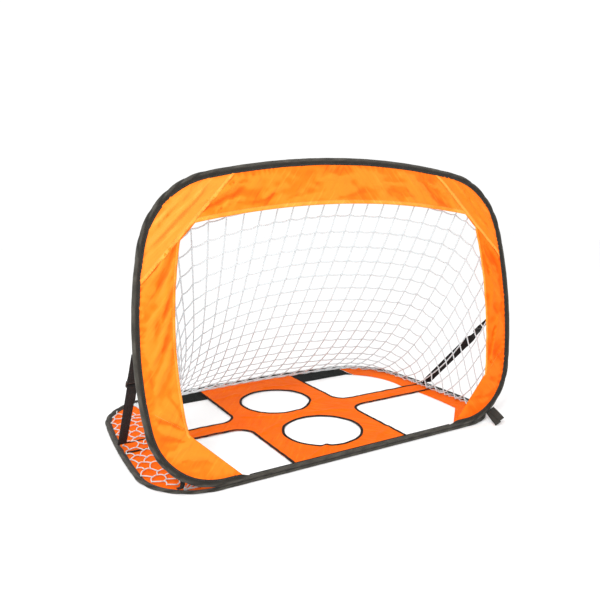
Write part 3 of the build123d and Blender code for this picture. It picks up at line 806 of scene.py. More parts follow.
def folds(x, v, strokes):
    """Height of the folds at each point, in metres."""
    total = np.zeros(len(x))
    for x0, v0, x1, v1, half, height in strokes:
        start, along = np.array((x0, v0)) / 1000, np.array((x1 - x0, v1 - v0)) / 1000
        length = np.linalg.norm(along)
        along = along / length
        dx, dv = x - start[0], v - start[1]
        t = (dx * along[0] + dv * along[1]) / length
        off = dx * -along[1] + dv * along[0] + 0.004 * np.sin(t * 4.0 + x0) + 0.0015 * np.sin(t * 13.0 + v0)
        width = half / 1000 * (0.32 + 0.46 * np.clip(t, 0, 1))
        taper = smooth((t + 0.12) / 0.3) * smooth((1.15 - t) / 0.45)
        total += height / 1000 * taper * np.exp(-(off / width) ** 2) * (1.5 if height > 0 else 1.2)
    return total


def front_relief(x, v):
    """How far the front fabric stands in front of the hoop's plane."""
    points = np.stack([x, v], 1)
    from_sleeve = distance(points, closed_up(FRONT_LINE)) - SEWN_IN
    from_mouth = distance(points, MOUTH_OUTLINE)
    soft = 0.0016 * ripple(x, v, 0.085, 11) + 0.0007 * ripple(x, v, 0.03, 12)
    along_hoop = np.where(np.abs(x) > 0.46, v, x)
    gathers = 0.0011 * np.sin(along_hoop * 2 * math.pi / GATHER_PITCH + 3 * ripple(x, v, 0.09, 13, 4))
    gathers = gathers * smooth(1 - from_sleeve / 0.030) * smooth(0.5 + ripple(x, v, 0.12, 14))
    height = folds(x, v, LEFT_FOLDS + RIGHT_FOLDS + TOP_FOLDS) + soft
    height = height * smooth(from_sleeve / 0.022) * (0.45 + 0.55 * smooth(from_mouth / 0.024))
    height = height + gathers * smooth(from_sleeve / 0.006) + 0.0014 * smooth(from_sleeve / 0.03)
    return np.where(height < 0, -DEEPEST_FOLD * np.tanh(-height / DEEPEST_FOLD), height)


def cloth_piece(name, loops, lines, is_hem, relief, place, materials, spacing=0.0055, shade_scale=0.0020):
    """A flat-cut piece of cloth, meshed finely and raised by its relief, and its flat area."""
    flat, faces, centre = triangulated(loops, spacing, lines)
    height = relief(flat[:, 0], flat[:, 1])
    points = place(flat[:, 0], flat[:, 1], height)
    a, b, c = (points[faces[:, k]] for k in range(3))
    if np.cross(b - a, c - a).sum(0) @ (place(0.0, 0.0, 1.0) - place(0.0, 0.0, 0.0)) < 0:
        faces = faces[:, ::-1]
    groups = is_hem(centre).astype(int) if is_hem else None
    thing = piece(name, points, faces, materials, flat, groups)
    # painted shade in the fold valleys and painted highlight on the ridges, from the relief's height
    set_painted_shade(thing, -height / shade_scale)
    solidify(thing)
    a, b, c = (flat[faces[:, k]] for k in range(3))
    return thing, float(np.abs(np.cross(b - a, c - a)).sum() / 2)


def hem_of(edge, width):
    """A test of whether points lie in the hem along an edge."""
    return lambda centre: distance(centre, edge) < width


def inset_line(line, by):
    """A line moved sideways to its left."""
    ahead = headings(line)
    return line + by * np.stack([-ahead[:, 1], ahead[:, 0]], 1)


def sewn_line(flat, relief):
    """Stitches along a line on the front fabric."""
    flat = spaced(flat, 0.004)
    height = relief(flat[:, 0], flat[:, 1]) + STITCH_LIFT
    outwards = front(0.0, 0.0, 1.0) - front(0.0, 0.0, 0.0)
    add_stitches(front_thread, front(flat[:, 0], flat[:, 1], height), outwards)


front_thread = Parts()
side_hem = inset_line(MOUTH_SIDE, -SIDE_HEM)
top_hem = inset_line(MOUTH_TOP_LINE, -TOP_HEM)
GUSSET_SEAM = ((0.486, 0.150), (0.566, 0.207))
for side, sign in SIDES:
    loop, hem_line, edge = (on_side(line, sign) for line in (SIDE_LOOP, side_hem, MOUTH_SIDE))
    # the right panel takes the darker copy of the orange, as painted shade
    orange = FRONT_ORANGE if side == "left" else RIGHT_SHADED_ORANGE
    panel, area = cloth_piece("front_panel_" + side, [loop], [hem_line[1:-1]], hem_of(edge, SIDE_HEM),
                              front_relief, front, [orange, HEM_ORANGE])
    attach(panel, GOAL_BODY)
    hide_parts("face_panel_" + side)
    sewn_line(hem_line[2:-2], front_relief)
    sewn_line(np.array(GUSSET_SEAM) * (sign, 1), front_relief)
panel, area = cloth_piece("front_panel_top", [TOP_LOOP], [top_hem[1:-1]], hem_of(MOUTH_TOP_LINE, TOP_HEM),
                          front_relief, front, [FRONT_ORANGE, HEM_ORANGE])
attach(panel, GOAL_BODY)
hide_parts("face_panel_top")
sewn_line(top_hem[2:-2], front_relief)


def patch_relief(x, v):
    """The corner patches lie over the panels, with their own long folds."""
    points = np.stack([x, v], 1)
    from_sleeve = distance(points, closed_up(FRONT_LINE)) - SEWN_IN
    under = front_relief(x, v)
    own = folds(x, v, PATCH_FOLDS) + 0.0010 * ripple(x, v, 0.06, 21)
    own = (own + 0.0026) * smooth(from_sleeve / 0.02) + 0.0004
    return np.maximum(own, under + 0.0008 * smooth(from_sleeve / 0.01))


patch_outer = front_edge(lambda x, v: x + v >= PATCH_EDGE)
inner_edge = refined([patch_outer[-1], patch_outer[0]], 0.005)
PATCH_LOOP = np.vstack([patch_outer, inner_edge[1:-1]])
patch_hem = inset_line(inner_edge, PATCH_HEM * 0.95)
for side, sign in SIDES:
    loop, edge, outer_edge, hem_line = (on_side(line, sign) for line in
                                        (PATCH_LOOP, inner_edge, patch_outer, patch_hem))
    hem_line = hem_line[inside(hem_line, loop) & (distance(hem_line, outer_edge) > 0.004)]
    # the right patch takes the darker copy of the orange, as painted shade
    orange = PATCH_ORANGE if side == "left" else RIGHT_SHADED_PATCH
    patch, area = cloth_piece("corner_patch_fabric_" + side, [loop], [hem_line], hem_of(edge, PATCH_HEM),
                              patch_relief, front, [orange, HEM_ORANGE], spacing=0.0045)
    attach(patch, GOAL_BODY)
    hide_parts("corner_patch_" + side)
    sewn_line(hem_line, patch_relief)
hems = front_thread.piece("front_hem_stitches", [ORANGE_THREAD])
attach(hems, GOAL_BODY)
seams = front_stitches.piece("front_seam_stitches", [DARK_THREAD])
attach(seams, GOAL_BODY)


# ---- ground fabric ----
def ground_edge(test):
    """The part of the right half of the ground hoop's sewn-in line that passes a test."""
    return passing(GROUND_LINE + GROUND_NORMAL * GROUND_FABRIC_IN, test)


WINDOW_SIDE = arc_through(MOUTH_LOW, WINDOW_MIDDLE, WINDOW_HIGH)
WINDOW_BEND = arc_through(WINDOW_HIGH, WINDOW_CORNER, WINDOW_BACK)
GROUND_TIP = (MOUTH_FOOT[0] + GUSSET_SLOPE * SEWN_IN, GROUND_FABRIC_IN)
LEFT_PANEL_EXTRA = 0.024          # the left side panel is this much wider than the right one at its middle
BACK_BAND = 0.6                   # beyond this v the ground fabric belongs to the back of the hoop


def ground_relief(x, v):
    """How far the ground fabric stands above the floor."""
    soft = 0.0008 + 0.0007 * ripple(x, v, 0.11, 31) + 0.0003 * ripple(x, v, 0.035, 32)
    return 0.0004 + np.maximum(soft, 0.0)


bend_side, bend_back = (WINDOW_BEND[WINDOW_BEND[:, 0] > BACK_PANEL_HALF],
                        WINDOW_BEND[WINDOW_BEND[:, 0] <= BACK_PANEL_HALF])
side_outer = ground_edge(lambda x, v: x > (GROUND_TIP[0] if v < BACK_BAND else BACK_PANEL_HALF))
back_outer = ground_edge(lambda x, v: v >= BACK_BAND and x <= BACK_PANEL_HALF)
window_edge = np.vstack([bend_side[::-1], WINDOW_SIDE[::-1][1:]])
window_v = window_edge[:, 1]
bulge = LEFT_PANEL_EXTRA * smooth((window_v - 0.10) / 0.30) * smooth((0.70 - window_v) / 0.10)
BACK_LOOP = np.vstack([back_outer, flip(back_outer)[1:], bend_back * (-1, 1), bend_back[::-1]])
for side, sign in SIDES:
    inner = window_edge if sign == 1 else window_edge - np.stack([bulge, 0 * bulge], 1)
    loop = on_side(np.vstack([[GROUND_TIP], side_outer, inner]), sign)
    panel, area = cloth_piece("ground_panel_fabric_" + side, [loop], [], None, ground_relief, ground,
                              [GROUND_ORANGE], spacing=0.008, shade_scale=1.0)
    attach(panel, GROUND_BODY)
    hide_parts("ground_panel_" + side)
panel, area = cloth_piece("ground_panel_fabric_back", [BACK_LOOP], [], None, ground_relief, ground,
                          [BLACK_CLOTH], spacing=0.008, shade_scale=1.0)
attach(panel, GROUND_BODY)
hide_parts("ground_panel_back")

# ---- target sheet and its bindings ----
TARGET_FOLDS = [
    (-150, 40, 40, 150, 16, 3.0), (60, 30, 185, 120, 16, 2.4), (-185, 250, -60, 330, 14, 2.6),
    (40, 350, 190, 300, 14, 2.4), (-170, 420, -40, 360, 15, 2.6), (60, 400, 180, 460, 14, 2.2),
    (-190, 600, -60, 640, 16, 2.4), (20, 655, 170, 610, 14, 2.4), (-420, 350, -250, 380, 12, 2.0),
    (240, 372, 430, 350, 12, 2.2), (-20, 340, 30, 380, 18, 2.6), (-130, 690, 60, 720, 14, 2.0),
]


def target_relief(x, v):
    """How far the target sheet stands above the floor, over the panels where it lies on them."""
    own = folds(x, v, TARGET_FOLDS) + 0.0011
    own = own + 0.0008 * ripple(x, v, 0.10, 41) + 0.0003 * ripple(x, v, 0.03, 42)
    return np.maximum(0.0014 + own, ground_relief(x, v) + 0.0012)


def circle(place, radius):
    """A circle round the place v = place on the sheet's middle line."""
    angles = np.linspace(0, 2 * math.pi, round(2 * math.pi * radius / LINE_STEP), endpoint=False)
    return np.stack([radius * np.cos(angles), place + radius * np.sin(angles)], 1)


def corner_arc(cx, cv, start, end):
    """One of the fillets between the sheet's column and its arms."""
    angles = np.radians(np.linspace(start, end, 12))
    return np.stack([cx + FILLET * np.cos(angles), cv + FILLET * np.sin(angles)], 1)


arm_outer = ground_edge(lambda x, v: ARM_FRONT < v < ARM_BACK and x > 0.3)
back_end = ground_edge(lambda x, v: v > BACK_BAND and x < COLUMN_HALF)
far_x = float(arm_outer[:, 0].mean())
inner_x = COLUMN_HALF + FILLET
FRONT_CORNER = np.vstack([[(COLUMN_HALF, GROUND_TIP[1])], corner_arc(inner_x, ARM_FRONT - FILLET, 180, 90),
                          [(far_x, ARM_FRONT)]])
BACK_CORNER = np.vstack([[(far_x, ARM_BACK)], corner_arc(inner_x, ARM_BACK + FILLET, -90, -180),
                         [(COLUMN_HALF, float(back_end[0][1]))]])
half_target = np.vstack([FRONT_CORNER[:-1], arm_outer[:1] * (1, 0) + (0, ARM_FRONT), arm_outer,
                         arm_outer[-1:] * (1, 0) + (0, ARM_BACK), BACK_CORNER[1:-1], back_end])
TARGET_LOOP = np.vstack([half_target, flip(half_target)[1:]])
hem_top = GROUND_TIP[1] + TARGET_HEM
front_strip = np.array([(-COLUMN_HALF + 0.002, hem_top), (COLUMN_HALF - 0.002, hem_top)])
HOLES = [circle(place, HOLE_RADIUS + 0.004) for place in HOLE_PLACES]
target, area = cloth_piece("target_fabric", [TARGET_LOOP] + HOLES, [front_strip],
                           lambda centre: centre[:, 1] < hem_top, target_relief, ground,
                           [GROUND_ORANGE, GROUND_HEM], spacing=0.0065, shade_scale=1.0)
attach(target, GROUND_BODY)
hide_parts("target_sheet")


BINDING_WIDTH, BINDING_HEIGHT = 0.0078, 0.0021


def tape(name, flat, closed, stands_for, seed):
    """A binding folded over a cut edge of the target sheet, with a row of stitches."""
    flat = spaced(flat, LINE_STEP, closed)
    if closed:
        flat = closed_up(flat)
    ahead = np.gradient(flat, axis=0)
    if closed:
        ahead[0] = ahead[-1] = flat[1] - flat[-2]
    ahead /= np.linalg.norm(ahead, axis=1)[:, None]
    side = np.stack([-ahead[:, 1], ahead[:, 0]], 1)
    along = np.arange(len(flat)) * LINE_STEP
    wobble = 0.0005 * ripple(along, along * 0, 0.05, seed)
    width = BINDING_WIDTH
    if closed:
        wobble *= smooth(along / 0.03) * smooth((along[-1] - along) / 0.03)
    else:
        width = width + 0.0007 * ripple(along, along * 0, 0.035, seed + 1)
    flat = flat + side * wobble[:, None]
    line = ground(flat[:, 0], flat[:, 1], target_relief(flat[:, 0], flat[:, 1]) + 0.0001)
    across = np.stack([side[:, 0], side[:, 1], np.zeros(len(side))], 1)
    up = np.tile((0.0, 0.0, 1.0), (len(side), 1))
    parts = Parts()
    add_band(parts, line, across, up, width, BINDING_HEIGHT)
    add_stitches(parts, line + up * 0.00125, up)
    thing = parts.piece(name, [BINDING])
    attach(thing, GROUND_BODY)
    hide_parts(*stands_for)


for hole, word in zip(HOLES, ("front", "back")):
    tape("hole_tape_" + word, hole, True, ["hole_binding_" + word], 51)
for side, sign in SIDES:
    for word, path in (("front", FRONT_CORNER), ("back", BACK_CORNER)):
        inward = inset_line(refined(path, 0.004), 0.004) * (sign, 1)
        tape(f"corner_tape_{word}_{side}", inward, False, [f"cross_binding_{word}_{side}"], 61 + sign)
seams = ground_stitches.piece("ground_seam_stitches", [DARK_THREAD])
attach(seams, GROUND_BODY)


# ---- pieces that cross the fold ----
FOLD_BACKING = 0.0080             # what lies this close behind the front hoop turns with it


def fold_share(points):
    """How far each point has turned with the front hoop: 0 on the ground, 1 in the hoop's plane."""
    angle = np.arctan2(points[:, 2] - HINGE_HEIGHT, np.maximum(points[:, 1] - FOLD_BACKING, 1e-6))
    return np.clip(angle / (math.pi / 2 - LEAN), 0, 1)


def across_fold(thing, share=None):
    """Bakes the piece's transform and works out each point's share of the fold's angle; the piece is not turned.
    """
    points = np.array([v.co for v in thing.data.vertices])
    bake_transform(thing)
    values = fold_share(points) if share is None else share(points)


# ---- net ----
CELL = 0.0478
LINK = 3                          # each side of a mesh is this many short lengths
SLACK = 1.010
NET_START = (-0.008, -0.055)      # where the middle column's first row falls on the taut surface laid flat
ARCH = 0.29                       # its rows droop towards both sides,
FAN = (2.0, 0.30)                 # its columns draw in on the left over the first stretch of their way down,
SPREAD = (0.13, 0.08)             # and its meshes are pulled wider on the right, from this far off the middle
NET_OUT = 0.022                   # the net is sewn this far outside the mouth's edge, behind the fabric
NET_BEHIND = 0.0062               # and this far behind the middle of the fabric
GROUND_SEWN_IN = 0.0175
SEWN_LEVEL = 0.0040
OVER_CORNER = np.array((0.46, 0.08, 0.64))   # where the two lines that it is sewn along turn a corner
LOW_CORNER = np.array((0.505, 0.69, SEWN_LEVEL))
NETTING = (1.1, 1.5, 4)           # the netting laid out: half width, height, and rows above NET_START
RULINGS = 240
NET_FRONT, NET_BACK = 0.0085, 0.744   # it stays this far behind the leaning hoop, and in front of this y
NET_HALF_LIMIT = 0.534            # above the ground the net stays inside the straps,
GROUND_HALF_LIMIT = 0.562         # and below this level inside the ground hoop's sleeve
LOW_LEVEL = 0.0068
NET_STEPS, QUICK_STEPS, PASSES = 330, 60, 18   # steps of hanging, and passes over the links in each
KEPT_SPEED, FALL = 0.96, 0.00009  # share of its speed that a point keeps, and its fall in a step
CORD_RADIUS = 0.0021
LOOSE_LEVEL = 0.0055              # height of the meshes lying on the side bands
# each patch of loose net: its side, reach back, rows, their depth, spacing of its meshes, cord radius, seed
LOOSE_NETS = ((-1, (0.05, 0.66), 3, 0.030, 0.025, 0.0015, 5),
              (1, (0.10, 0.72), 1, 0.015, 0.024, 0.0011, 6))


def net_border():
    """The two lines that the net is sewn along: over the mouth, and round the ground hoop."""
    outward = inset_line(refined(MOUTH_OUTLINE, 0.004), -NET_OUT)
    outward = outward[outward[:, 1] > 0.03]
    edge = GROUND_LINE + GROUND_NORMAL * GROUND_SEWN_IN
    edge = edge[(np.abs(edge[:, 0]) > 0.40) | (edge[:, 1] > 0.1)]
    over, low = front(outward[:, 0], outward[:, 1], -NET_BEHIND), ground(edge[:, 0], edge[:, 1], SEWN_LEVEL)
    return over[::-1], low[::-1]


def matched(line, corner):
    """Points along half a border: its middle, its corner and its end are at fixed shares of them."""
    along = lengths(line)
    middle = along[-1] / 2
    corner = along[np.argmin(np.linalg.norm(line - corner, axis=1))]
    shares = np.linspace(-1, 1, RULINGS + 1)
    at = np.interp(shares, (-1, -0.5, 0, 0.5, 1), (0, 2 * middle - corner, middle, corner, along[-1]))
    return along_line(at, along, line)


def third_corner(a, b, from_a, from_b, side):
    """The point at two given distances from a and b, on the given side of the line between them."""
    direction = b - a
    length = max(np.linalg.norm(direction), 1e-9)
    direction = direction / length
    along = (from_a ** 2 - from_b ** 2 + length ** 2) / (2 * length)
    off = math.sqrt(max(from_a ** 2 - along ** 2, 0.0))
    return a + direction * along + side * off * np.array((-direction[1], direction[0]))


def gap(a, b):
    """The distance between two points."""
    return np.linalg.norm(a - b)


def unrolled(over, low):
    """The taut surface between the two borders laid flat, strip by strip from its middle."""
    middle = RULINGS // 2
    a, b = np.zeros((len(over), 2)), np.zeros((len(over), 2))
    b[middle] = (0, -gap(over[middle], low[middle]))
    for step, side in ((1, 1), (-1, -1)):
        i = middle
        while 0 <= i + step <= RULINGS:
            j = i + step
            a[j] = third_corner(a[i], b[i], gap(over[j], over[i]), gap(over[j], low[i]), side)
            b[j] = third_corner(a[j], b[i], gap(low[j], over[j]), gap(low[j], low[i]), side)
            i = j
    return a, b


def barycentric(p, a, b, c):
    """Shares of the corners of each triangle in each point: [point, triangle, corner]."""
    u, v = b - a, c - a
    w = p[:, None] - a[None]
    area = u[:, 0] * v[:, 1] - u[:, 1] * v[:, 0]
    area = np.where(np.abs(area) < 1e-12, 1e-12, area)
    second = (w[..., 0] * v[:, 1] - w[..., 1] * v[:, 0]) / area
    third = (u[:, 0] * w[..., 1] - u[:, 1] * w[..., 0]) / area
    return np.stack([1 - second - third, second, third], -1)


def laid_net(over, low):
    """Square netting laid on the taut surface between the borders: its points, and which are free."""
    flat_over, flat_low = unrolled(over, low)
    half_width, height, rows_above = NETTING
    half = round(half_width / CELL) * LINK
    rows, columns = round(height / CELL) * LINK + 1, 2 * half + 1
    row, column = np.meshgrid(np.arange(rows) - rows_above * LINK, np.arange(columns) - half, indexing="ij")
    step = CELL / LINK
    across, down = column * step, row * step
    drawn_in = FAN[0] * FAN[1] * np.tanh(np.maximum(down, 0) / FAN[1]) * np.minimum(across, 0) ** 2
    spread = SPREAD[0] * np.maximum(across - SPREAD[1], 0)
    flat = (np.stack([across + drawn_in + spread, -down - ARCH * across ** 2], -1) + NET_START).reshape(-1, 2)
    triangles = [(flat_over[:-1], flat_low[:-1], flat_over[1:]), (flat_over[1:], flat_low[:-1], flat_low[1:])]
    solid = [(over[:-1], low[:-1], over[1:]), (over[1:], low[:-1], low[1:])]
    points, found = np.zeros((len(flat), 3)), np.zeros(len(flat), bool)
    for corners, places in zip(triangles, solid):
        shares = barycentric(flat, *corners)
        hit = (shares.min(-1) > -1e-6).any(1) & ~found
        best = (shares.min(-1) > -1e-6).argmax(1)
        for k, place in enumerate(places):
            points[hit] += shares[hit, best[hit], k][:, None] * place[best[hit]]
        found |= hit
    border_flat, border = np.vstack([flat_over, flat_low]), np.vstack([over, low])
    closest = ((flat[:, None] - border_flat[None]) ** 2).sum(-1).argmin(1)
    points[~found] = border[closest[~found]]
    inner = found.reshape(rows, columns)
    on_cord = np.zeros((rows, columns), bool)
    on_cord[::LINK] = True
    on_cord[:, ::LINK] = True
    return points.reshape(rows, columns, 3), inner & on_cord


def links_of(p, weight):
    """The short lengths of cord as pairs of slices, with their lengths and each end's share of a pull."""
    rows, columns = weight.shape
    links = []
    for k in range(LINK):
        links.append(((slice(None, None, LINK), slice(k, columns - 1, LINK)),
                      (slice(None, None, LINK), slice(k + 1, columns, LINK))))
        links.append(((slice(k, rows - 1, LINK), slice(None, None, LINK)),
                      (slice(k + 1, rows, LINK), slice(None, None, LINK))))
    out = []
    for a, b in links:
        rest = np.linalg.norm(p[b] - p[a], axis=-1) * SLACK
        pull = np.maximum(weight[a] + weight[b], 1e-9)
        live = weight[a] + weight[b] > 0
        out.append((a, b, rest, np.where(live, weight[a] / pull, 0)[..., None],
                    np.where(live, weight[b] / pull, 0)[..., None]))
    return out


def simulate_net():
    """The netting sewn down where it meets the borders, and left to hang."""
    over, low = net_border()
    p, inner = laid_net(matched(over, OVER_CORNER), matched(low, LOW_CORNER))
    weight = np.where(inner, 1.0, 0.0)
    links = links_of(p, weight)
    old = p.copy()
    steps = NET_STEPS
    for i in range(steps):
        if i == steps * 2 // 3:   # the rows are drawn tight where they hang slack
            across = np.linalg.norm(p[::LINK, LINK::LINK] - p[::LINK, :-1:LINK], axis=-1) / LINK * SLACK
            for _, _, rest, _, _ in links[::2]:
                rest[:] = np.minimum(rest, across)
        moved = (p - old) * KEPT_SPEED
        old = p.copy()
        p = p + moved * weight[..., None]
        p[..., 2] -= FALL * weight
        for _ in range(PASSES):
            for a, b, rest, share_a, share_b in links:
                d = p[b] - p[a]
                length = np.sqrt((d * d).sum(-1)) + 1e-12
                d *= ((length - rest) / length)[..., None]
                p[a] += d * share_a
                p[b] -= d * share_b
        p[..., 2] = np.where(inner, np.maximum(p[..., 2], SEWN_LEVEL), p[..., 2])
        plane = (p[..., 2] - HINGE_HEIGHT) * math.tan(LEAN) + NET_FRONT
        p[..., 1] = np.where(inner, np.clip(p[..., 1], plane, NET_BACK), p[..., 1])
        side = np.where(p[..., 2] > LOW_LEVEL, NET_HALF_LIMIT, GROUND_HALF_LIMIT)
        p[..., 0] = np.where(inner, np.clip(p[..., 0], -side, side), p[..., 0])
    return p, inner


def cords_of(net, inner):
    """Each unbroken run of cord along a row or a column, with the sewn-down point at each of its ends."""
    runs = []
    for lines, masks in ((net[::LINK], inner[::LINK]),
                         (net.transpose(1, 0, 2)[::LINK], inner.T[::LINK])):
        for line, mask in zip(lines, masks):
            edges = np.flatnonzero(np.diff(np.concatenate([[False], mask, [False]]).astype(int)))
            for start, end in edges.reshape(-1, 2):
                runs.append(line[max(start - 1, 0):end + 1])
    return runs


def loose_net(parts, sign, reach, rows, row, spacing, radius, seed):
    """The slack foot of the net, lying on a side band in staggered meshes."""
    edge = GROUND_LINE + GROUND_NORMAL * GROUND_SEWN_IN
    keep = (edge[:, 0] > 0.34) & (edge[:, 1] > reach[0]) & (edge[:, 1] < reach[1])
    edge, inward = edge[keep], GROUND_NORMAL[keep]
    along = lengths(edge)
    random = np.random.default_rng(seed)
    count = int(along[-1] / spacing)
    nodes = np.zeros((rows + 1, count + 1, 3))
    for k in range(rows + 1):
        at = (np.arange(count + 1) + random.uniform(-0.25, 0.25, count + 1)) * spacing
        zigzag = 0.24 * (-1.0) ** (np.arange(count + 1) + k)
        deep = (k + zigzag + random.uniform(-0.12, 0.12, count + 1)) * row + 0.3 * row
        flat = along_line(at, along, edge) + deep[:, None] * along_line(at, along, inward)
        level = LOOSE_LEVEL + random.uniform(0, 0.0035, count + 1)
        nodes[k] = np.stack([flat[:, 0] * sign, flat[:, 1], level], 1)

    def cord(a, b):
        bow = np.array((b[1] - a[1], a[0] - b[0], 0.0)) * random.uniform(-0.16, 0.16)
        t = np.linspace(0, 1, 5)[:, None]
        add_tube(parts, a + (b - a) * t + bow * 4 * t * (1 - t) + (0, 0, 0.002) * np.sin(t * math.pi), radius)

    for k in range(rows + 1):
        for i in range(count):
            cord(nodes[k, i], nodes[k, i + 1])
            if k < rows and (i + k) % 2 == 0:
                cord(nodes[k, i], nodes[k + 1, i])
    return nodes.reshape(-1, 3)


def build_net():
    """The cords with a knot at each crossing, the border along the mouth, and the loose net."""
    net, inner = simulate_net()
    parts = Parts()
    for run in cords_of(net, inner):
        if len(run) > 2:
            add_tube(parts, run, CORD_RADIUS)
    add_tube(parts, spaced(net_border()[0], 0.012), CORD_RADIUS)
    ball = [(0, 0, 1), (0.87, 0, 0.5), (0, 0.87, 0.5), (-0.87, 0, 0.5), (0, -0.87, 0.5), (0.87, 0, -0.5),
            (0, 0.87, -0.5), (-0.87, 0, -0.5), (0, -0.87, -0.5), (0, 0, -1)]
    faces = [(0, 1, 2), (0, 2, 3), (0, 3, 4), (0, 4, 1), (1, 5, 6, 2), (2, 6, 7, 3), (3, 7, 8, 4),
             (4, 8, 5, 1), (9, 6, 5), (9, 7, 6), (9, 8, 7), (9, 5, 8)]
    knots = [net[::LINK, ::LINK][inner[::LINK, ::LINK]]] + [loose_net(parts, *patch) for patch in LOOSE_NETS]
    for p in np.vstack(knots):
        parts.add(p + np.array(ball) * CORD_RADIUS, faces)
    thing = parts.piece("net", [NET_CORD])
    across_fold(thing)
    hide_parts("goal_net")


build_net()


# ---- straps and buckles ----
STRAP_LENGTH = float(np.linalg.norm(STRAP_TOP - STRAP_FOOT))
STRAP_ALONG = (STRAP_TOP - STRAP_FOOT) / STRAP_LENGTH
STRAP_ACROSS = np.array((1.0, 0, 0)) - STRAP_ALONG * STRAP_ALONG[0]
STRAP_ACROSS /= np.linalg.norm(STRAP_ACROSS)
STRAP_UP = np.cross(STRAP_ALONG, STRAP_ACROSS)
BUCKLE = BUCKLE_SHARE * STRAP_LENGTH
SLOTS = (-0.0072, 0.0004, 0.0080)
SLOT_LENGTH, SLOT_ROOM = 0.0044, 0.0012
UNDER, OVER = -0.0031, 0.0031     # the webbing's level below and above the buckle
BUCKLE_LENGTH, BUCKLE_WIDTH, BUCKLE_HEIGHT, BUCKLE_CORNER = 0.027, 0.031, 0.004, 0.004
TWIST = math.radians(60)          # the right strap is turned this far towards the mouth below its buckle
LIP_HALF = 0.0102                 # half the width of the lip that a buckle is lifted by
LIP = ((-0.0135, 0.0), (-0.0150, 0.0014), (-0.0152, 0.0034), (-0.0142, 0.0044), (-0.0126, 0.0036),
       (-0.0112, 0.0018))         # its outline, along the strap from the buckle's middle and above it
RIBS, RIB_HALF, RIB_RADIUS = 5, 0.0085, 0.00022   # the ridges across the lip
RIB_START, RIB_PITCH, RIB_LEVEL = -0.0147, 0.0006, 0.0044
BUCKLE_FOLD = 0.756               # the straps' joints, and the buckles with them, turn by this share of the fold
# how far along a strap, and the share of the fold that its webbing turns by there, level along the buckle
STRAP_FOLD = ((0.0, 0.0), (0.1, 0.066), (0.2, 0.147), (0.3, 0.243), (0.4, 0.35), (0.5, 0.467), (0.6, 0.588),
              (0.66, 0.70), (0.685, BUCKLE_FOLD), (0.755, BUCKLE_FOLD), (0.8, 0.80), (1.0, 1.0))


def on_strap(s, c, h, sign):
    """A point at s along the right-hand strap, c across it and h above it, or mirrored for the left."""
    point = (STRAP_FOOT + np.multiply.outer(s, STRAP_ALONG) + np.multiply.outer(c, STRAP_ACROSS)
             + np.multiply.outer(h, STRAP_UP))
    return point * (sign, 1, 1)


def strap_turn(s, sign):
    """How far a strap is twisted about its length at s along it."""
    return -TWIST * smooth(s / 0.03) * smooth((BUCKLE - 0.024 - s) / 0.04) * (sign > 0)


def strap_share(points):
    """The share of the fold that each point of a strap or its tab turns by: 0 at the foot, 1 at the top."""
    mirrored = np.stack([np.abs(points[:, 0]), points[:, 1], points[:, 2]], 1)
    along = (mirrored - STRAP_FOOT) @ STRAP_ALONG / STRAP_LENGTH
    return np.interp(along, *zip(*STRAP_FOLD))


def ribbon(parts, path, sign):
    """Webbing along a path of (along the strap, above it)."""
    path = refined(softened(path, 3), 0.006)
    s, h = path[:, 0], path[:, 1]
    turn = strap_turn(s, sign)
    line = on_strap(s, -(h - UNDER) * np.sin(turn), UNDER + (h - UNDER) * np.cos(turn), sign)
    across = (STRAP_ACROSS * np.cos(turn)[:, None] + STRAP_UP * np.sin(turn)[:, None]) * (sign, 1, 1)
    add_band(parts, line, across, np.cross(across, headings(line)), WEBBING_WIDTH, WEBBING, bulge=0.0)


def box_stitch(parts, low, high, level, sign):
    """A box of stitches with a cross in it, where webbing is sewn down."""
    half = 0.009
    corners = [(low, -half), (high, -half), (high, half), (low, half), (low, -half), (high, half)]
    for a, b in list(zip(corners[:-1], corners[1:])) + [((high, -half), (low, half))]:
        s, c = np.linspace(a, b, 12).T
        add_stitches(parts, on_strap(s, c, level + 0 * s, sign), STRAP_UP * (sign, 1, 1), pitch=0.0036,
                     length=0.0026)


def rounded(length, width, radius, shift=0.0):
    """The outline of a rectangle with rounded corners."""
    angles = np.radians(np.linspace(0, 90, 6))
    quarter = np.array([(length / 2 - radius + radius * np.cos(t), width / 2 - radius + radius * np.sin(t))
                        for t in angles])
    back = quarter[::-1]
    return np.vstack([quarter, back * (-1, 1), quarter * (-1, -1), back * (1, -1)]) + (shift, 0)


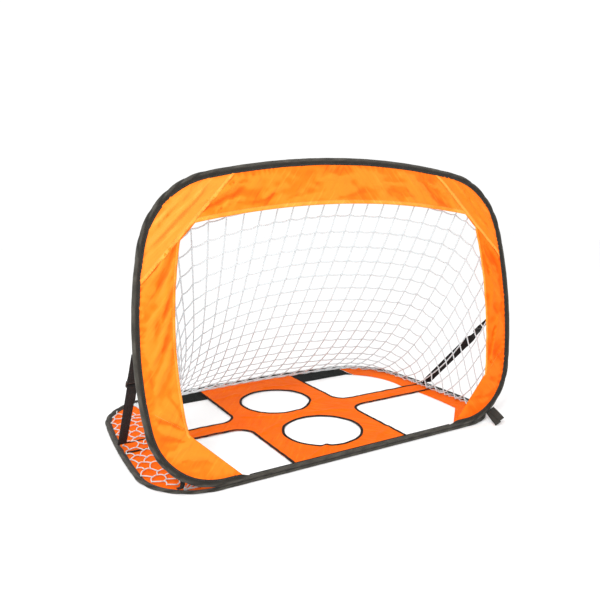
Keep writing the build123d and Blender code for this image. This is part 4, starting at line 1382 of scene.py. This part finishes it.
def buckle(side, sign):
    """A tension-lock slide: a rounded frame with crossbars, and a ribbed lip to lift it by."""
    slots = [rounded(SLOT_LENGTH, WEBBING_WIDTH + SLOT_ROOM, 0.0012, place) for place in SLOTS]
    flat, faces, _ = triangulated([rounded(BUCKLE_LENGTH, BUCKLE_WIDTH, BUCKLE_CORNER)] + slots, 0.0025)
    count = len(flat)
    half = BUCKLE_HEIGHT / 2 * np.ones(count)
    top, bottom = (on_strap(BUCKLE + flat[:, 0], flat[:, 1], h, sign) for h in (half, -half))
    edges = {(int(a), int(b)) for f in faces for a, b in zip(f, np.roll(f, -1))}
    every = [tuple(f) for f in faces] + [tuple(int(i) + count for i in f[::-1]) for f in faces]
    every += [(b, a, a + count, b + count) for a, b in edges if (b, a) not in edges]
    parts = Parts()
    parts.add(np.vstack([top, bottom]), every)
    c = np.linspace(-LIP_HALF, LIP_HALF, 9)
    lip = [on_strap(np.full(9, BUCKLE + s), c, h + 0.0006 * (1 - (c / LIP_HALF) ** 2), sign) for s, h in LIP]
    parts.add(np.stack(lip, 1), skin_faces(9, len(LIP), caps=True))
    for k in range(RIBS):
        rib = on_strap(np.full(2, BUCKLE + RIB_START + RIB_PITCH * k), np.array((-RIB_HALF, RIB_HALF)),
                       RIB_LEVEL + 0.00035 * math.sin(k), sign)
        add_tube(parts, spaced(rib, 0.003), RIB_RADIUS, sides=4)
    thing = parts.piece("buckle_" + side, [BUCKLE_PLASTIC], smooth_faces=False)
    bevel = thing.modifiers.new("rounded", "BEVEL")
    bevel.width, bevel.segments, bevel.limit_method, bevel.angle_limit = 0.0007, 3, "ANGLE", math.radians(50)
    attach(thing, side + "_buckle")
    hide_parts("strap_buckle_" + side)


for side, sign in SIDES:
    low_slot, high_slot, top_slot = (BUCKLE + s for s in SLOTS)
    strap = Parts()
    ribbon(strap, [(0.0, UNDER + 0.0008), (0.03, UNDER), (low_slot - 0.02, UNDER), (low_slot, UNDER),
                   (low_slot, OVER), (high_slot, OVER), (high_slot, UNDER - 0.002),
                   (low_slot - 0.02, UNDER - 0.0022), (low_slot - 0.075, UNDER - 0.006)], sign)
    box_stitch(strap, 0.006, 0.026, UNDER + 0.0017, sign)
    thing = strap.piece("strap_" + side, [WEBBING_BLACK])
    across_fold(thing, strap_share)
    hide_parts("side_strap_" + side)
    tab = Parts()
    over = [(STRAP_LENGTH, 0.0011), (top_slot + 0.024, 0.0011), (top_slot + 0.009, OVER), (top_slot, OVER)]
    ribbon(tab, over + [(s, -h) for s, h in over[::-1]], sign)
    box_stitch(tab, top_slot + 0.026, top_slot + 0.046, 0.0020, sign)
    thing = tab.piece("tab_" + side, [WEBBING_BLACK])
    across_fold(thing, strap_share)
    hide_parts("strap_tab_" + side)
    buckle(side, sign)


# ---- ties, storage loop and hinge tape ----
TIE_PATH = ((0.0124, 0.056), (0.0118, 0.042), (0.016, 0.026), (0.031, 0.0098), (0.046, 0.0092))


def corner_tie(name, x):
    """A tape that lies across the goal line, sewn to both hoops."""
    width, thick = 0.012, 0.0012
    path = refined(softened(TIE_PATH, 2), 0.004)
    line = np.stack([np.full(len(path), x), path[:, 0], path[:, 1]], 1)
    across = np.tile((1.0, 0, 0), (len(line), 1))
    normal = np.cross(across, headings(line))
    parts = Parts()
    add_band(parts, line, across, normal, width, thick)
    for offset in (0.004, -0.004):
        add_stitches(parts, line + across * offset + normal * thick * 0.68, normal, **TAPE_STITCHES)
    return parts.piece(name, [WEBBING_BLACK])


for side, sign in SIDES:
    thing = corner_tie("tie_" + side, 0.505 * sign)
    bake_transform(thing)
    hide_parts("corner_tie_" + side)
LOOP_START, LOOP_END = np.array((0.500, -0.0005, 0.032)), np.array((0.491, -0.049, 0.013))
LOOP_ACROSS = np.array((0.69, -0.31, 0.65))


def loop_strap():
    """Two layers of webbing sewn to the sleeve's corner, their ends side by side on the ground."""
    along = (LOOP_END - LOOP_START) / np.linalg.norm(LOOP_END - LOOP_START)
    across = LOOP_ACROSS - along * (LOOP_ACROSS @ along)
    across /= np.linalg.norm(across)
    normal = np.cross(along, across)
    parts = Parts()
    for shift, level, length, fan in ((-0.0048, -0.0009, 0.0535, -0.05), (0.0050, 0.0010, 0.0505, 0.06)):
        s = np.linspace(-0.004, length, 24)
        sag = 0.0016 * np.sin(s / 0.055 * math.pi) - 0.0012 * smooth((s - 0.03) / 0.025)
        off = shift + fan * np.maximum(s, 0)
        line = (LOOP_START + np.multiply.outer(s, along) + np.multiply.outer(off, across)
                + np.multiply.outer(level + sag, normal))
        width = 0.0215 * (1 - 0.04 * smooth((s - 0.03) / 0.02))
        every = (len(line), 1)
        add_band(parts, line, np.tile(across, every), np.tile(normal, every), width, 0.0015, bulge=0.1)
        for edge in (-0.0085, 0.0085):
            add_stitches(parts, line[2:] + across * edge + normal * 0.0009, normal, **TAPE_STITCHES)
    thing = parts.piece("loop_strap", [WEBBING_GREY])
    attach(thing, GOAL_BODY)
    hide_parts("storage_loop")


loop_strap()


def hinge_strip():
    """The tape that joins the two hoops along the goal line, gathered a little between its stitches."""
    x = np.arange(-NARROW_HALF + 0.002, NARROW_HALF, 0.006)
    path = np.array([(0.0072, 0.0102), (0.0069, 0.0125), (0.0064, 0.0150), (0.0060, 0.0172),
                     (0.0056, 0.0190)])
    pucker = 0.0004 * np.sin(x * 2 * math.pi / 0.019 + 2 * ripple(x, 0 * x, 0.1, 71))
    rings = np.stack([np.stack([x, np.full(len(x), y) + pucker * (0.3 + k % 2), np.full(len(x), z)], 1)
                      for k, (y, z) in enumerate(path)], 1)
    uv = np.stack(np.broadcast_arrays(path[None, :, 1], x[:, None]), -1)
    parts = Parts()
    parts.add(rings, skin_faces(len(x), len(path), closed_round=False), uv)
    add_stitches(parts, rings[:, 1] + (0, 0.0004, 0), (0, 1.0, 0))
    thing = parts.piece("hinge_strip", [BLACK_CLOTH])
    solidify(thing)
    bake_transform(thing)
    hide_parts("hinge_tape")


hinge_strip()
for name in ("front_wire", "front_wire_ferrule", "ground_wire", "ground_wire_ferrule"):
    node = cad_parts[name]
    node.data.materials.clear()
    node.data.materials.append(STEEL)

# ---- floor, light and camera ----
bpy.ops.mesh.primitive_plane_add(size=14.0, location=(0, 0, -0.0002))
floor = bpy.context.object
floor.name = "floor"
paper = Nodes("pale_floor")
paper.finish((0.94, 0.94, 0.94), 0.9)
floor.data.materials.append(paper.material)

world = bpy.data.worlds.new("studio")
world.use_nodes = True
sky = world.node_tree.nodes["Background"]
sky.inputs["Color"].default_value = (1, 1, 1, 1)
sky.inputs["Strength"].default_value = 1.06
bpy.context.scene.world = world


def area_light(name, place, aim, size, power):
    lamp = bpy.data.lights.new(name, "AREA")
    lamp.shape, lamp.size, lamp.energy = "DISK", size, power
    thing = bpy.data.objects.new(name, lamp)
    thing.location = place
    thing.rotation_mode = "QUATERNION"
    thing.rotation_quaternion = (Vector(aim) - Vector(place)).to_track_quat("-Z", "Y")
    bpy.context.scene.collection.objects.link(thing)


area_light("key", (-1.9, -1.5, 2.1), (-0.1, 0.0, 0.4), 1.1, 62)
area_light("fill", (2.4, -1.8, 1.6), (0, 0.2, 0.3), 2.0, 5)

camera = bpy.data.cameras.new("camera")
camera.lens, camera.sensor_width = 37.85, 36.0
camera.clip_start, camera.clip_end = 0.05, 50
eye = bpy.data.objects.new("camera", camera)
place, yaw, pitch, roll = (-0.9659, -1.3309, 0.7259), 0.5274, -0.1784, -0.0014
ahead = Vector((math.sin(yaw) * math.cos(pitch), math.cos(yaw) * math.cos(pitch), math.sin(pitch)))
level = Vector((math.cos(yaw), -math.sin(yaw), 0))
above = level.cross(ahead)
right = level * math.cos(roll) + above * math.sin(roll)
up = -level * math.sin(roll) + above * math.cos(roll)
eye.matrix_world = Matrix.Translation(place) @ Matrix((right, up, -ahead)).transposed().to_4x4()
bpy.context.scene.collection.objects.link(eye)
bpy.context.scene.camera = eye
bpy.context.scene.view_settings.view_transform = "Standard"
